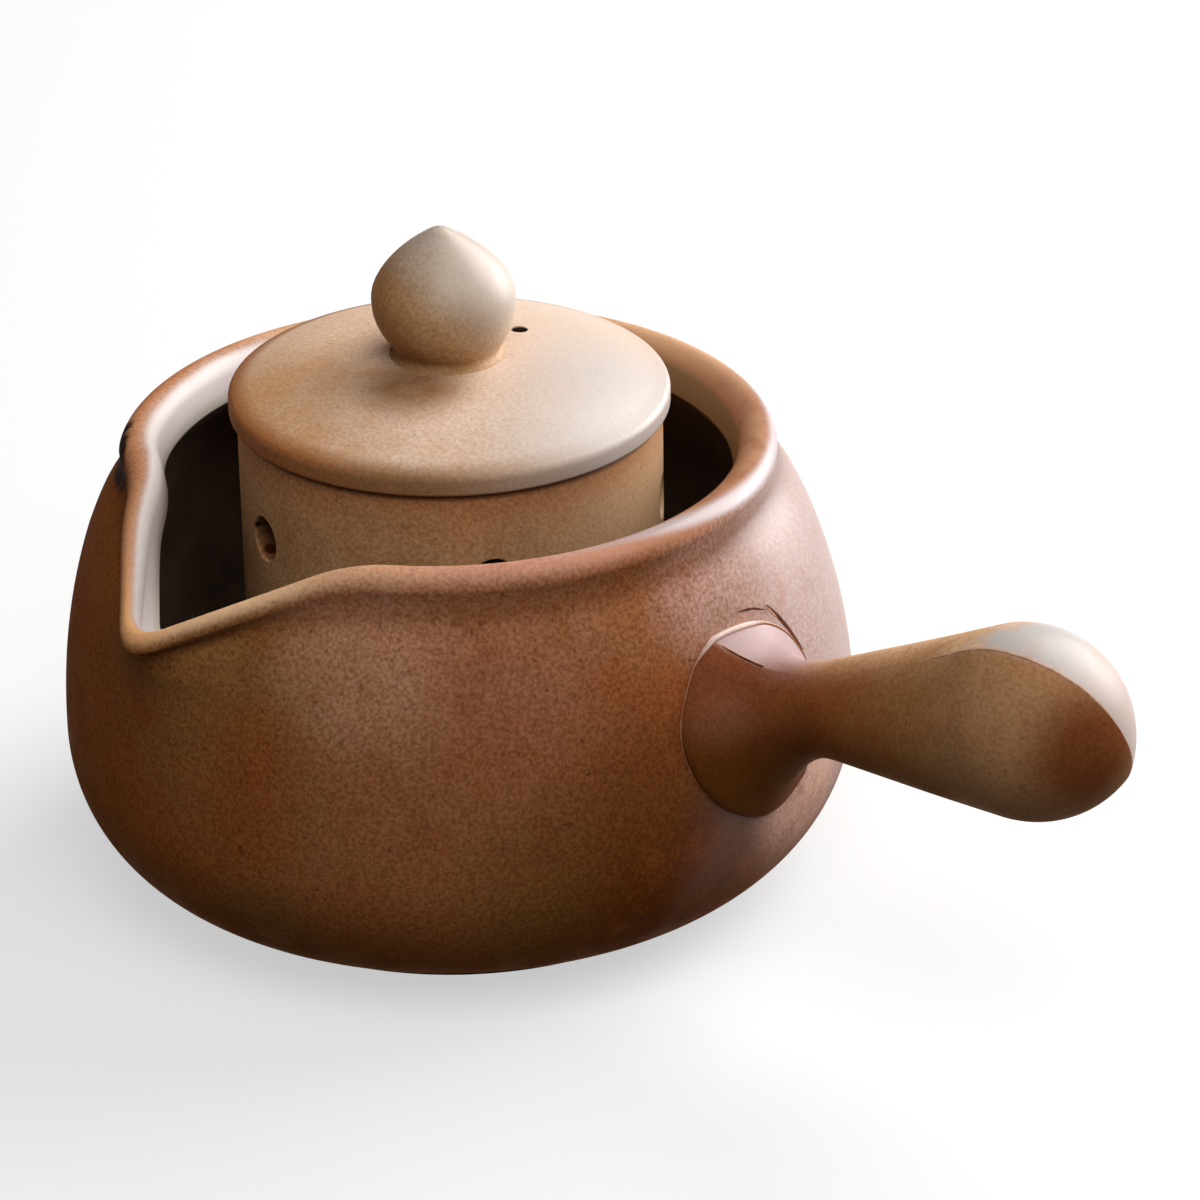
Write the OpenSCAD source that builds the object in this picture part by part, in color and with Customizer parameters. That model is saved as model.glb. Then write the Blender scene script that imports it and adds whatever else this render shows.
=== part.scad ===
// Side-handle teapot in stoneware: an open bowl with a pulled pouring lip, a thick
// side handle, a perforated infuser cup that stands inside and a lift-off lid.
// Millimetres. The origin is the centre of the foot on the ground, +Z is up and
// the handle points along +X.

/* [Bowl] */
// Radius of the bowl at its widest
belly_r = 70.7; // [66:0.1:76]
// Height of the widest place above the ground
belly_z = 28.8; // [26:0.2:34]
// Radius of the centre of the rolled rim
rim_r = 54.7; // [53:0.1:57]
// Height of the centre of the rolled rim
rim_z = 78.7; // [76:0.1:84]
// Radius of the rolled rim's own section
bead_r = 3.5; // [3:0.1:4]
// How hollow the shoulder between belly and rim is drawn, 1 for a straight cone
shoulder_bend = 2.05; // [1.4:0.05:2.6]
// How full the bowl is below its widest place, 2 for an ellipse
belly_full = 2.05; // [1.8:0.05:2.6]
// How steeply the wall leaves the foot, 0.5 for an ellipse
belly_rise = 0.58; // [0.5:0.02:0.7]
// Thickness of the wall at the belly
wall = 5; // [4:0.1:6]
// Thickness of the floor
floor_t = 4.3; // [3.5:0.1:6]
// Height of the band inside the rim
band_h = 4.3; // [3:0.1:5]

/* [Pouring lip] */
// Angle from the handle to the lip, seen from above
lip_angle = 98.5; // [85:0.5:110]
// How far the lip's tip stands out beyond the round rim
lip_reach = 18; // [12:0.1:19]
// How far the lip's tip dips below the round rim
lip_drop = 15.5; // [10:0.1:17]
// Angle from the lip's tip to each corner where it leaves the round rim
lip_half = 31; // [26:0.5:36]
// Angle over which the tip is rounded
tip_round = 3.5; // [3:0.5:6]
// Angle over which the corners are rounded
corner_round = 7; // [5:0.5:9]
// How quickly the pull dies away down the wall
lip_fade = 3.4; // [2.4:0.1:3.8]
// Share of the rim's width that is drawn thin at the tip
lip_thin = 0.35; // [0:0.05:0.4]
// How far the rim is pinched in at the lip's corner away from the handle
lip_pinch = 2; // [0:0.1:2.5]

/* [Foot] */
// Outer radius of the foot ring
foot_r = 49.6; // [46:0.2:52]
// Height of the foot ring
foot_h = 3.2; // [2.6:0.1:4.5]
// Width of the face that the foot ring stands on
foot_w = 7; // [5:0.5:10]
// Depth of the groove between the foot ring and the bowl
groove_d = 1.3; // [0.8:0.1:2]

/* [Side handle] */
// Height of the handle's axis where it meets the bowl
handle_z = 49.4; // [46:0.1:52]
// Upward tilt of the handle
handle_tilt = 14.4; // [8:0.2:20]
// Distance along the handle from the bowl to its thickest place
grip_at = 57.3; // [48:0.1:66]
// Radius of the handle at its thickest
grip_r = 17.3; // [14:0.1:18.5]
// Length of the rounded end past the thickest place
grip_end = 18; // [14:0.1:19]
// Radius that the handle's taper has where it reaches the bowl
taper_r = 6; // [5:0.1:7]
// Radius of the flared root where it reaches the bowl
root_r = 18.6; // [15:0.1:19]
// Length of the flared root
root_len = 20.5; // [14:0.5:22]
// Wall of the hollow handle
handle_wall = 6; // [5.5:0.1:6.8]
// Turn of the seam's plane from the top of the handle, away from the lip
seam_turn = 62; // [30:1:90]
// How far each half of the handle is set in towards the seam between them
seam_in = 1; // [0.5:0.1:1.5]

/* [Infuser cup] */
// Outer radius of the cup
cup_r = 37.4; // [34:0.1:40]
// Height of the cup's rim above the top of the bowl's rim
cup_rise = 5.4; // [2:0.1:10]
// Wall of the cup
cup_wall = 4; // [3:0.1:5]
// Thickness of the cup's floor
cup_floor = 4.5; // [3.5:0.1:6]
// Diameter of the holes
hole_d = 7.5; // [4:0.1:8]
// Holes in each row
holes_round = 5; // [4:1:7]
// Rows of holes
hole_rows = 3; // [1:1:3]
// Depth of the top row below the cup's rim
hole_depth = 17; // [13:0.5:20]
// Distance from row to row
hole_pitch = 22; // [12:0.5:23]
// Angle from the handle to the first hole of the top row
hole_angle = 33; // [0:1:72]

/* [Lid] */
// How far the lid stands out past the cup
lid_over = 1.4; // [0.8:0.1:2.5]
// Thickness of the lid at its edge
lid_edge = 3.9; // [3.2:0.1:5]
// Rise of the domed top from edge to knob
lid_rise = 5.9; // [3:0.1:7]
// Radius of the rounding on the lid's edge
lid_round = 1.4; // [0.8:0.1:1.5]
// Clearance between the lid's flange and the cup
lid_gap = 0.8; // [0.5:0.1:1.2]
// Depth of the flange below the lid
flange_h = 5; // [3:0.1:7]
// Wall of the flange
flange_t = 3.2; // [2.5:0.1:4]
// Diameter of the steam hole
steam_d = 2.8; // [2:0.1:4]
// Distance of the steam hole from the middle of the lid
steam_at = 15.5; // [14.5:0.5:24]
// Angle from the handle to the steam hole
steam_angle = 76; // [0:1:180]

/* [Knob] */
// Radius of the knob at its widest
knob_r = 12.6; // [11:0.1:13.2]
// Height of the widest place above the lid
knob_z = 10.6; // [9.8:0.1:12]
// Height of the point above the widest place
knob_peak = 13.5; // [11:0.1:17]
// Half height that the knob's round lower part has before the neck cuts it off
knob_low = 13.6; // [12:0.1:14.5]
// How full the knob stays below its point
knob_full = 1.86; // [1.5:0.02:2.4]
// How sharp the knob's point is drawn
knob_sharp = 1; // [0.9:0.05:1.5]
// Radius of the neck under the knob
neck_r = 9.3; // [8.6:0.1:9.6]
// Height and width of the fillet round the knob's foot
knob_fillet = 1; // [0.6:0.1:1.2]

/* [Hidden] */
$fn = 96;

// Colours of the fired clay
clay_brown = [0.52, 0.32, 0.19];
clay_foot = [0.42, 0.26, 0.16];
clay_cream = [0.74, 0.60, 0.43];

// Heights that several pieces share
floor_z = foot_h + floor_t;
rim_top = rim_z + bead_r;
cup_top = rim_top + cup_rise;
lid_shoulder = cup_top + lid_edge;
lid_top = lid_shoulder + lid_rise;

// Step from the foot ring out to the bowl's underside
base_step = 0.8;
base_r = foot_r + base_step;

// Groove under the rolled rim: how far below and outside the bead the wall ends
shoulder_below = 2.2;
shoulder_beyond = 2.6;
shoulder_z = rim_z - bead_r - shoulder_below;
shoulder_r = rim_r + bead_r + shoulder_beyond;
// Height over which the wall turns in to the groove, and the angle where the bead leaves it
shoulder_turn = 4;
bead_start = -50;

// Inside of the rim: the band's lower edge and the undercut below it
band_slope = 0.9;
undercut = [1.5, -2];
hollow_below = 4.5;
hollow_z = rim_z - band_h - hollow_below;

// Flat floor, wider than the cup that stands on it
floor_margin = 9;
well_r = cup_r + floor_margin;

// Steps of the bowl's surface
fine_step = 2;
coarse_step = 6;
fine_half = 40;
outer_steps = 12;
shoulder_steps = 4;
inner_steps = 10;
bead_steps = 9;
blur_steps = 4;
crowding = 1.3;

// Points of an arc in the section plane
function arc(x, y, r, from, to, steps) =
    [for (i = [0:steps])
        let (a = from + (to - from) * i / steps)
        [x + r * cos(a), y + r * sin(a)]];

// Straight edge of the lip in plan, from its tip back to the corner on the round rim
tip_r = rim_r + lip_reach;
edge_x = rim_r * cos(lip_half) - tip_r;
edge_y = rim_r * sin(lip_half);

// Share of the way along that edge, 1 at the tip and 0 at the corner
function lip_place(phi) =
    let (a = min(abs(phi), lip_half))
    1 - tan(a) * tip_r / (edge_y - tan(a) * edge_x);

// Radius of the rim's path at an angle from the lip, before rounding
pinch_width = 6;
function path_r(phi) =
    let (s = 1 - lip_place(phi))
    let (pinch = lip_pinch * exp(-pow((phi + lip_half) / pinch_width, 2)))
    norm([tip_r + s * edge_x, s * edge_y]) - pinch;

// Mean over the rounding angle, so that tip and corners turn softly
function mean(list) = list * [for (v = list) 1] / len(list);
function rounding(phi) = tip_round + (corner_round - tip_round) * min(1, abs(phi) / lip_half);
function spread(phi) = [for (k = [-blur_steps:blur_steps]) phi + k * rounding(phi) / blur_steps];
function lip_share(phi) = mean([for (a = spread(phi)) lip_place(a)]);
function lip_out(phi) = mean([for (a = spread(phi)) path_r(a)]) - rim_r;

// Share of the lip's pull that reaches a height on the wall
function pull(z) = z <= belly_z ? 0 : min(1, pow((z - belly_z) / (rim_z - belly_z), lip_fade));

// Full quarter curve that rises from 0 to 1
function quarter(x) = pow(1 - pow(1 - x, belly_full), belly_rise);

// Outer radius of the round bowl at a height
function wall_r(z) =
    z < belly_z
    ? base_r + (belly_r - base_r) * quarter((z - foot_h) / (belly_z - foot_h))
    : belly_r - (belly_r - shoulder_r) * pow((z - belly_z) / (shoulder_z - belly_z), shoulder_bend);

// Inner radius of the round bowl at a height
function hollow_r(z) =
    z < belly_z
    ? well_r + (belly_r - wall - well_r) * quarter((z - floor_z) / (belly_z - floor_z))
    : wall_r(z) - wall;

// Heights on the walls, closer together where they turn quickly near the floor
wall_top = shoulder_z - shoulder_turn;
function outer_z(i) = foot_h + (wall_top - foot_h) * pow(i / outer_steps, crowding);
function inner_z(i) = floor_z + (hollow_z - floor_z) * pow(1 - i / inner_steps, crowding);

// Round section from the underside's edge, up the wall, over the rim and down to the floor
function outer_wall() = [for (i = [0:outer_steps]) [wall_r(outer_z(i)), outer_z(i)]];
function inner_wall() = [for (i = [0:inner_steps]) [hollow_r(inner_z(i)), inner_z(i)]];
function thinned(share) = bead_r * (1 - lip_thin * sqrt(max(0, share)));
function bead(share) =
    [for (i = [0:bead_steps])
        let (a = bead_start + (180 - bead_start) * i / bead_steps)
        [rim_r + thinned(share) * cos(a), rim_z + bead_r * sin(a)]];

// Shoulder that turns in under the rim; towards the lip's tip the groove there fades out
function shoulder(share) =
    let (from = [wall_r(wall_top), wall_top])
    let (past = (shoulder_beyond + bead_r * lip_thin) * share)
    let (corner = [shoulder_r - past, shoulder_z])
    let (to = bead(share)[0])
    [for (i = [1:shoulder_steps - 1])
        let (u = i / shoulder_steps)
        pow(1 - u, 2) * from + 2 * u * (1 - u) * corner + u * u * to];

// Band inside the rim, thinner at the lip, and the undercut below it
function mouth_band(share) =
    let (edge = [rim_r - thinned(share) - band_slope * (1 - share), rim_z - band_h])
    [edge, edge + undercut];

// Section at an angle from the lip, drawn out and down by the pull
function section(phi) =
    let (share = lip_share(phi))
    let (out = lip_out(phi))
    [for (p = concat(outer_wall(), shoulder(share), bead(share), mouth_band(share), inner_wall()))
        [p.x + out * pull(p.y), p.y - lip_drop * share * pull(p.y)]];

// Angles round the bowl from the lip, closer together at the lip
function signed(a) = a > 180 ? a - 360 : a;
function ring_angles() = concat(
    [for (a = [-fine_half:fine_step:fine_half - fine_step]) a],
    [for (a = [fine_half:coarse_step:360 - fine_half - coarse_step]) signed(a)]);

// Solid swept from the section at every angle, closed by the underside and the floor
module bowl() {
    rings = ring_angles();
    count = len(rings);
    chain = len(section(0));
    skin = [for (a = rings, p = section(a)) [p.x * cos(a - lip_angle), p.x * sin(a - lip_angle), p.y]];
    under = count * chain;
    well = under + 1;
    sides = [for (j = [0:count - 1], i = [0:chain - 2])
        let (here = j * chain + i)
        let (next = (j + 1) % count * chain + i)
        each [[here, here + 1, next + 1], [here, next + 1, next]]];
    ends = [for (j = [0:count - 1])
        let (here = j * chain)
        let (next = (j + 1) % count * chain)
        each [[under, here, next], [well, next + chain - 1, here + chain - 1]]];
    color(clay_brown)
        polyhedron(concat(skin, [[0, 0, foot_h], [0, 0, floor_z]]), concat(sides, ends));
}

module foot_ring() {
    chamfer = 0.6;
    inner_draft = 1;
    groove_h = foot_h / 3;
    color(clay_foot)
        rotate_extrude()
            polygon([
                [foot_r - foot_w, 0],
                [foot_r - chamfer, 0],
                [foot_r, chamfer],
                [foot_r, foot_h - groove_h],
                [foot_r - groove_d, foot_h - groove_h / 2],
                [foot_r - groove_d, foot_h],
                [foot_r - foot_w - inner_draft, foot_h]]);
}

// Radius along the handle: a straight taper, a flared root and a rounded end
root_sink = 1.5;
end_turn = (grip_r - taper_r) / grip_at * grip_end / grip_r;
end_join = grip_at - grip_end * end_turn / sqrt(1 + end_turn * end_turn);
function flare(t) =
    t < root_len
    ? (root_r - taper_r) * pow((root_len - max(t, -root_sink)) / (root_len + root_sink), 3)
    : 0;
function end_r(t) = grip_r * sqrt(max(0, 1 - pow((t - grip_at) / grip_end, 2)));
function taper(t) = taper_r + (end_r(end_join) - taper_r) * t / end_join;
function handle_r(t) = t < end_join ? taper(t) + flare(t) : end_r(t);

// Stations along the handle, from inside the bowl's wall to the end
root_in = 6;
handle_steps = 16;
end_steps = 8;
function handle_stations() = concat(
    [for (i = [0:handle_steps]) -root_in + (end_join + root_in) * i / handle_steps],
    [for (i = [1:end_steps]) end_join + (grip_at + grip_end - end_join) * sin(90 * i / end_steps)]);

// Place of the handle's axis
module on_handle() {
    translate([wall_r(handle_z), 0, handle_z])
        rotate([0, 90 - handle_tilt, 0])
            children();
}

// Round body of the handle, thinner by the given amount on every side, moved off the axis
module handle_body(inset, move) {
    stations = [for (t = handle_stations()) if (handle_r(t) > inset) t];
    last = stations[len(stations) - 1];
    on_handle()
        translate(move)
            rotate_extrude()
                polygon(concat(
                    [[0, -root_in]],
                    [for (t = stations) [handle_r(t) - inset, t]],
                    [[0, max(last, grip_at + grip_end - inset)]]));
}

// Both halves of the handle, set in towards the seam so that they meet in a soft ridge
module handle_halves() {
    in_x = -seam_in * cos(seam_turn);
    in_y = seam_in * sin(seam_turn);
    intersection() {
        handle_body(0, [in_x, in_y, 0]);
        handle_body(0, [-in_x, -in_y, 0]);
    }
}

module side_handle() {
    color(clay_brown)
        difference() {
            handle_halves();
            rotate_extrude()
                polygon(concat([[0, foot_h]], outer_wall(), [[0, wall_top]]));
            handle_body(handle_wall, [0, 0, 0]);
        }
}

// Bores of the infuser: rows of radial holes, each row turned half a step
module cup_holes() {
    for (row = [0:hole_rows - 1])
        for (i = [0:holes_round - 1])
            rotate(hole_angle + (i + row / 2) * 360 / holes_round)
                translate([cup_r - 2 * cup_wall, 0, cup_top - hole_depth - row * hole_pitch])
                    rotate([0, 90, 0])
                        cylinder(h = 3 * cup_wall, d = hole_d);
}

module infuser() {
    edge = 1.2;
    corner = 3;
    corner_steps = 4;
    inner_r = cup_r - cup_wall;
    inner_z = floor_z + cup_floor;
    color(clay_cream)
        difference() {
            rotate_extrude()
                polygon(concat(
                    [[0, floor_z]],
                    arc(cup_r - corner, floor_z + corner, corner, -90, 0, corner_steps),
                    arc(cup_r - edge, cup_top - edge, edge, 0, 90, corner_steps),
                    arc(inner_r + edge, cup_top - edge, edge, 90, 180, corner_steps),
                    arc(inner_r - corner, inner_z + corner, corner, 0, -90, corner_steps),
                    [[0, inner_z]]));
            cup_holes();
        }
}

// Domed top of the lid, from its rounded edge to the flat seat under the knob
seat_margin = 1;
lid_r = cup_r + lid_over;
dome_r = lid_r - lid_round;
lid_seat_r = neck_r + knob_fillet + seat_margin;
function dome_z(r) = lid_shoulder + lid_rise * (1 - pow((r - lid_seat_r) / (dome_r - lid_seat_r), 2));

module lid() {
    dome_steps = 8;
    chamfer = 0.6;
    edge_turn = 70;
    edge_steps = 4;
    flange_r = cup_r - cup_wall - lid_gap;
    flange_z = cup_top - flange_h;
    color(clay_cream)
        difference() {
            rotate_extrude()
                polygon(concat(
                    [[0, cup_top]],
                    [[flange_r - flange_t, cup_top]],
                    [[flange_r - flange_t, flange_z]],
                    [[flange_r - chamfer, flange_z]],
                    [[flange_r, flange_z + chamfer]],
                    [[flange_r, cup_top]],
                    [[lid_r - chamfer, cup_top]],
                    [[lid_r, cup_top + chamfer]],
                    arc(dome_r, lid_shoulder - lid_round, lid_round, 0, edge_turn, edge_steps),
                    [for (i = [1:dome_steps])
                        let (r = dome_r - (dome_r - lid_seat_r) * i / dome_steps)
                        [r, dome_z(r)]],
                    [[0, lid_top]]));
            rotate(steam_angle)
                translate([steam_at, 0, cup_top - lid_edge])
                    cylinder(h = 2 * lid_edge + lid_rise, d = steam_d);
        }
}

// Round below its widest place, drawn to a soft point above it
module knob() {
    knob_steps = 14;
    fillet_steps = 4;
    widest_z = lid_top + knob_z;
    neck_turn = acos(neck_r / knob_r);
    color(clay_cream)
        rotate_extrude()
            polygon(concat(
                [[0, lid_top]],
                arc(neck_r + knob_fillet, lid_top + knob_fillet, knob_fillet, 270, 180, fillet_steps),
                [for (i = [0:knob_steps])
                    let (a = -neck_turn * (1 - i / knob_steps))
                    [knob_r * cos(a), widest_z + knob_low * sin(a)]],
                [for (i = [1:knob_steps])
                    let (h = i / knob_steps)
                    [knob_r * pow(1 - pow(h, knob_full), knob_sharp), widest_z + knob_peak * h]]));
}

bowl();
foot_ring();
side_handle();
infuser();
lid();
knob();
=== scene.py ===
import math

import bpy
import numpy as np
from mathutils import Matrix, Vector


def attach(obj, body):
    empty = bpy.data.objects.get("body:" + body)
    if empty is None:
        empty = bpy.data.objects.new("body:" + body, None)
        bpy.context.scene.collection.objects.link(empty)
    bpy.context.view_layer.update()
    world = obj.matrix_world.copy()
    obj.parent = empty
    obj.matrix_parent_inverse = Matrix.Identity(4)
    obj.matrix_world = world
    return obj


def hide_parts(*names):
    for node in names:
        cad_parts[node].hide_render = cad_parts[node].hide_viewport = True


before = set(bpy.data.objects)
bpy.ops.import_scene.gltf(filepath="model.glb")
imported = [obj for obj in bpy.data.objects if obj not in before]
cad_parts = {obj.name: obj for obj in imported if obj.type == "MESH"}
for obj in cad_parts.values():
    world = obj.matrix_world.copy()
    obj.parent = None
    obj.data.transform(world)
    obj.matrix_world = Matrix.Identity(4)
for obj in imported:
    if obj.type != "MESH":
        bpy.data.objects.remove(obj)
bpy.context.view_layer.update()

# Lengths are millimetres, as in the part's source, and become metres in new_object
MM = 0.001

# Bowl
BELLY_R = 70.7
BELLY_Z = 28.8
RIM_R = 54.7
RIM_Z = 78.7
BEAD_R = 3.5
SHOULDER_BEND = 2.05
BELLY_FULL = 2.05
BELLY_RISE = 0.58
WALL = 5.0
FLOOR_T = 4.3
BAND_H = 4.3
BASE_STEP = 0.8
SHOULDER_BELOW = 2.2
SHOULDER_BEYOND = 2.6
SHOULDER_TURN = 4.0
BEAD_START = -50.0
BAND_SLOPE = 0.9
UNDERCUT = (1.5, -2.0)
HOLLOW_BELOW = 4.5
FLOOR_MARGIN = 9.0

# Pouring lip
LIP_ANGLE = 98.5
LIP_REACH = 18.0
LIP_DROP = 15.5
LIP_HALF = 31.0
TIP_ROUND = 3.5
CORNER_ROUND = 7.0
LIP_FADE = 3.4
LIP_THIN = 0.35
LIP_PINCH = 2.0
PINCH_WIDTH = 6.0

# Foot
FOOT_R = 49.6
FOOT_H = 3.2
FOOT_W = 7.0
GROOVE_D = 1.3

# Side handle
HANDLE_Z = 49.4
HANDLE_TILT = 14.4
GRIP_AT = 57.3
GRIP_R = 17.3
GRIP_END = 18.0
TAPER_R = 6.0
ROOT_R = 18.6
ROOT_LEN = 20.5
ROOT_SINK = 1.5
SEAM_TURN = 62.0
SEAM_IN = 1.0

# Infuser cup
CUP_R = 37.4
CUP_RISE = 5.4
CUP_WALL = 4.0
CUP_FLOOR = 4.5
HOLE_D = 7.5
HOLES_ROUND = 5
HOLE_ROWS = 3
HOLE_DEPTH = 17.0
HOLE_PITCH = 22.0
HOLE_ANGLE = 33.0

# Lid
LID_OVER = 1.4
LID_EDGE = 3.9
LID_RISE = 5.9
LID_ROUND = 1.4
LID_GAP = 0.8
FLANGE_H = 5.0
FLANGE_T = 3.2
STEAM_D = 2.8
STEAM_AT = 15.5
STEAM_ANGLE = 76.0

# Knob
KNOB_R = 12.6
KNOB_Z = 10.6
KNOB_PEAK = 13.5
KNOB_LOW = 13.6
KNOB_FULL = 1.86
KNOB_SHARP = 1.0
NECK_R = 9.3
KNOB_FILLET = 1.0
SEAT_MARGIN = 1.0

# Heights that several pieces share
FLOOR_Z = FOOT_H + FLOOR_T
BASE_R = FOOT_R + BASE_STEP
CUP_TOP = RIM_Z + BEAD_R + CUP_RISE
LID_SHOULDER = CUP_TOP + LID_EDGE
LID_TOP = LID_SHOULDER + LID_RISE
SHOULDER_Z = RIM_Z - BEAD_R - SHOULDER_BELOW
SHOULDER_R = RIM_R + BEAD_R + SHOULDER_BEYOND
WALL_TOP = SHOULDER_Z - SHOULDER_TURN
HOLLOW_Z = RIM_Z - BAND_H - HOLLOW_BELOW
WELL_R = CUP_R + FLOOR_MARGIN

# Camera: where the photograph was taken from, in degrees, millimetres and photo pixels
VIEW_AZIMUTH = 39.0
VIEW_ELEVATION = 26.72
VIEW_ROLL = -0.97
VIEW_DISTANCE = 1000.0
VIEW_SIDE = 25.8
VIEW_HEIGHT = 48.2
PHOTO_SIZE = 1200
FOCAL_PIXELS = 5595
SENSOR = 36.0
VIEW_TURN = math.radians(VIEW_AZIMUTH)
VIEW_RIGHT = Vector((math.cos(VIEW_TURN), math.sin(VIEW_TURN), 0))
VIEW_AWAY = Vector((-math.sin(VIEW_TURN), math.cos(VIEW_TURN), 0))
UP = Vector((0, 0, 1))


# Mesh helpers

def new_object(name, points, faces):
    """A linked object whose mesh comes from points in millimetres."""
    mesh = bpy.data.meshes.new(name)
    mesh.from_pydata((np.asarray(points) * MM).tolist(), [], faces)
    thing = bpy.data.objects.new(name, mesh)
    bpy.context.scene.collection.objects.link(thing)
    return thing


def make_piece(name, points, faces, body, node=None):
    """A smooth piece that rides on a CAD body and may stand in for one of its nodes."""
    piece = new_object(name, points, faces)
    piece.data.validate()
    piece.data.shade_smooth()
    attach(piece, body)
    if node:
        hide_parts(node)
    return piece


def set_values(piece, name, values):
    """Keeps one number per vertex for the piece's material."""
    attribute = piece.data.attributes.new(name, "FLOAT", "POINT")
    attribute.data.foreach_set("value", np.asarray(values, dtype=np.float32))


def grid_faces(rows, columns):
    """Quads between neighbouring rows of points, each row a closed ring."""
    faces = []
    for i in range(rows - 1):
        for j in range(columns):
            k = (j + 1) % columns
            faces.append((i * columns + j, i * columns + k, (i + 1) * columns + k, (i + 1) * columns + j))
    return faces


def capped_faces(rows, columns):
    """Grid faces with a cap over the first and the last ring."""
    last = (rows - 1) * columns
    return grid_faces(rows, columns) + [tuple(range(columns))[::-1], tuple(range(last, last + columns))]


def arc(x, y, r, start, stop, steps):
    """Points of an arc in the section plane."""
    a = np.radians(np.linspace(start, stop, steps + 1))
    return [(x + r * c, y + r * s) for c, s in zip(np.cos(a), np.sin(a))]


def smooth_step(x, low, high):
    t = np.clip((x - low) / (high - low), 0, 1)
    return t * t * (3 - 2 * t)


def lathe(profile, count):
    """Points and faces of a profile of (r, z) turned about the Z axis, open at both ends."""
    a = np.radians(np.arange(count) * 360 / count)
    points = []
    for r, z in profile:
        points += [(r * c, r * s, z) for c, s in zip(np.cos(a), np.sin(a))]
    return points, grid_faces(len(profile), count)


def closed_lathe(profile, count):
    """A lathe with a cap over its first and last ring."""
    return lathe(profile, count)[0], capped_faces(len(profile), count)


def cut(piece, points, faces):
    """Takes a closed shape out of a piece."""
    cutter = new_object("cutter", points, faces)
    modifier = piece.modifiers.new("cut", "BOOLEAN")
    modifier.operation = "DIFFERENCE"
    modifier.solver = "EXACT"
    modifier.object = cutter
    bpy.context.view_layer.update()
    shaped = piece.evaluated_get(bpy.context.evaluated_depsgraph_get())
    result = bpy.data.meshes.new_from_object(shaped)
    piece.modifiers.remove(modifier)
    piece.data = result
    bpy.data.objects.remove(cutter)


# Bowl surface, from the same formulas as the part's source

TIP_R = RIM_R + LIP_REACH
EDGE_X = RIM_R * math.cos(math.radians(LIP_HALF)) - TIP_R
EDGE_Y = RIM_R * math.sin(math.radians(LIP_HALF))
MEAN_SAMPLES = 33


def quarter(x):
    return (1 - (1 - x) ** BELLY_FULL) ** BELLY_RISE


def wall_r(z):
    """Outer radius of the round bowl at a height."""
    if z < BELLY_Z:
        return BASE_R + (BELLY_R - BASE_R) * quarter((z - FOOT_H) / (BELLY_Z - FOOT_H))
    return BELLY_R - (BELLY_R - SHOULDER_R) * ((z - BELLY_Z) / (SHOULDER_Z - BELLY_Z)) ** SHOULDER_BEND


def hollow_r(z):
    """Inner radius of the round bowl at a height."""
    if z < BELLY_Z:
        return WELL_R + (BELLY_R - WALL - WELL_R) * quarter((z - FLOOR_Z) / (BELLY_Z - FLOOR_Z))
    return wall_r(z) - WALL


def lip_place(phi):
    """Share of the way along the lip's edge, 1 at the tip and 0 at the corner."""
    t = np.tan(np.radians(np.minimum(np.abs(phi), LIP_HALF)))
    return 1 - t * TIP_R / (EDGE_Y - t * EDGE_X)


def path_r(phi):
    """Radius of the rim's path at an angle from the lip, before rounding."""
    s = 1 - lip_place(phi)
    pinch = LIP_PINCH * np.exp(-((phi + LIP_HALF) / PINCH_WIDTH) ** 2)
    return np.hypot(TIP_R + s * EDGE_X, s * EDGE_Y) - pinch


def lip_mean(function, phi):
    """Mean over the rounding angle, so that tip and corners turn softly."""
    half = TIP_ROUND + (CORNER_ROUND - TIP_ROUND) * min(1, abs(phi) / LIP_HALF)
    return function(phi + np.linspace(-half, half, MEAN_SAMPLES)).mean()


def pull(z):
    """Share of the lip's pull that reaches a height on the wall."""
    return min(1, (max(0, z - BELLY_Z) / (RIM_Z - BELLY_Z)) ** LIP_FADE)


OUTER_STEPS = 60
SHOULDER_STEPS = 12
BEAD_STEPS = 36
INNER_STEPS = 30
CROWDING = 1.3
# Angle round the rolled rim where it ends and the band inside it begins
BEAD_STOP = 180.0
# Rows of the section: the rolled rim's first and last one, and the first one of the dark inside
BEAD_ROW = OUTER_STEPS + SHOULDER_STEPS
BAND_ROW = BEAD_ROW + BEAD_STEPS
INSIDE_ROW = BAND_ROW + 2
# Rounded lower edge of the band, measured from its corner
BAND_EDGE = ((0.0, 0.4), (0.15, 0.1), (0.5, 0.0), UNDERCUT)


def crowded(low, high, shares):
    """Heights between two others, closer together near the lower one."""
    return [low + (high - low) * share ** CROWDING for share in shares]


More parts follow.
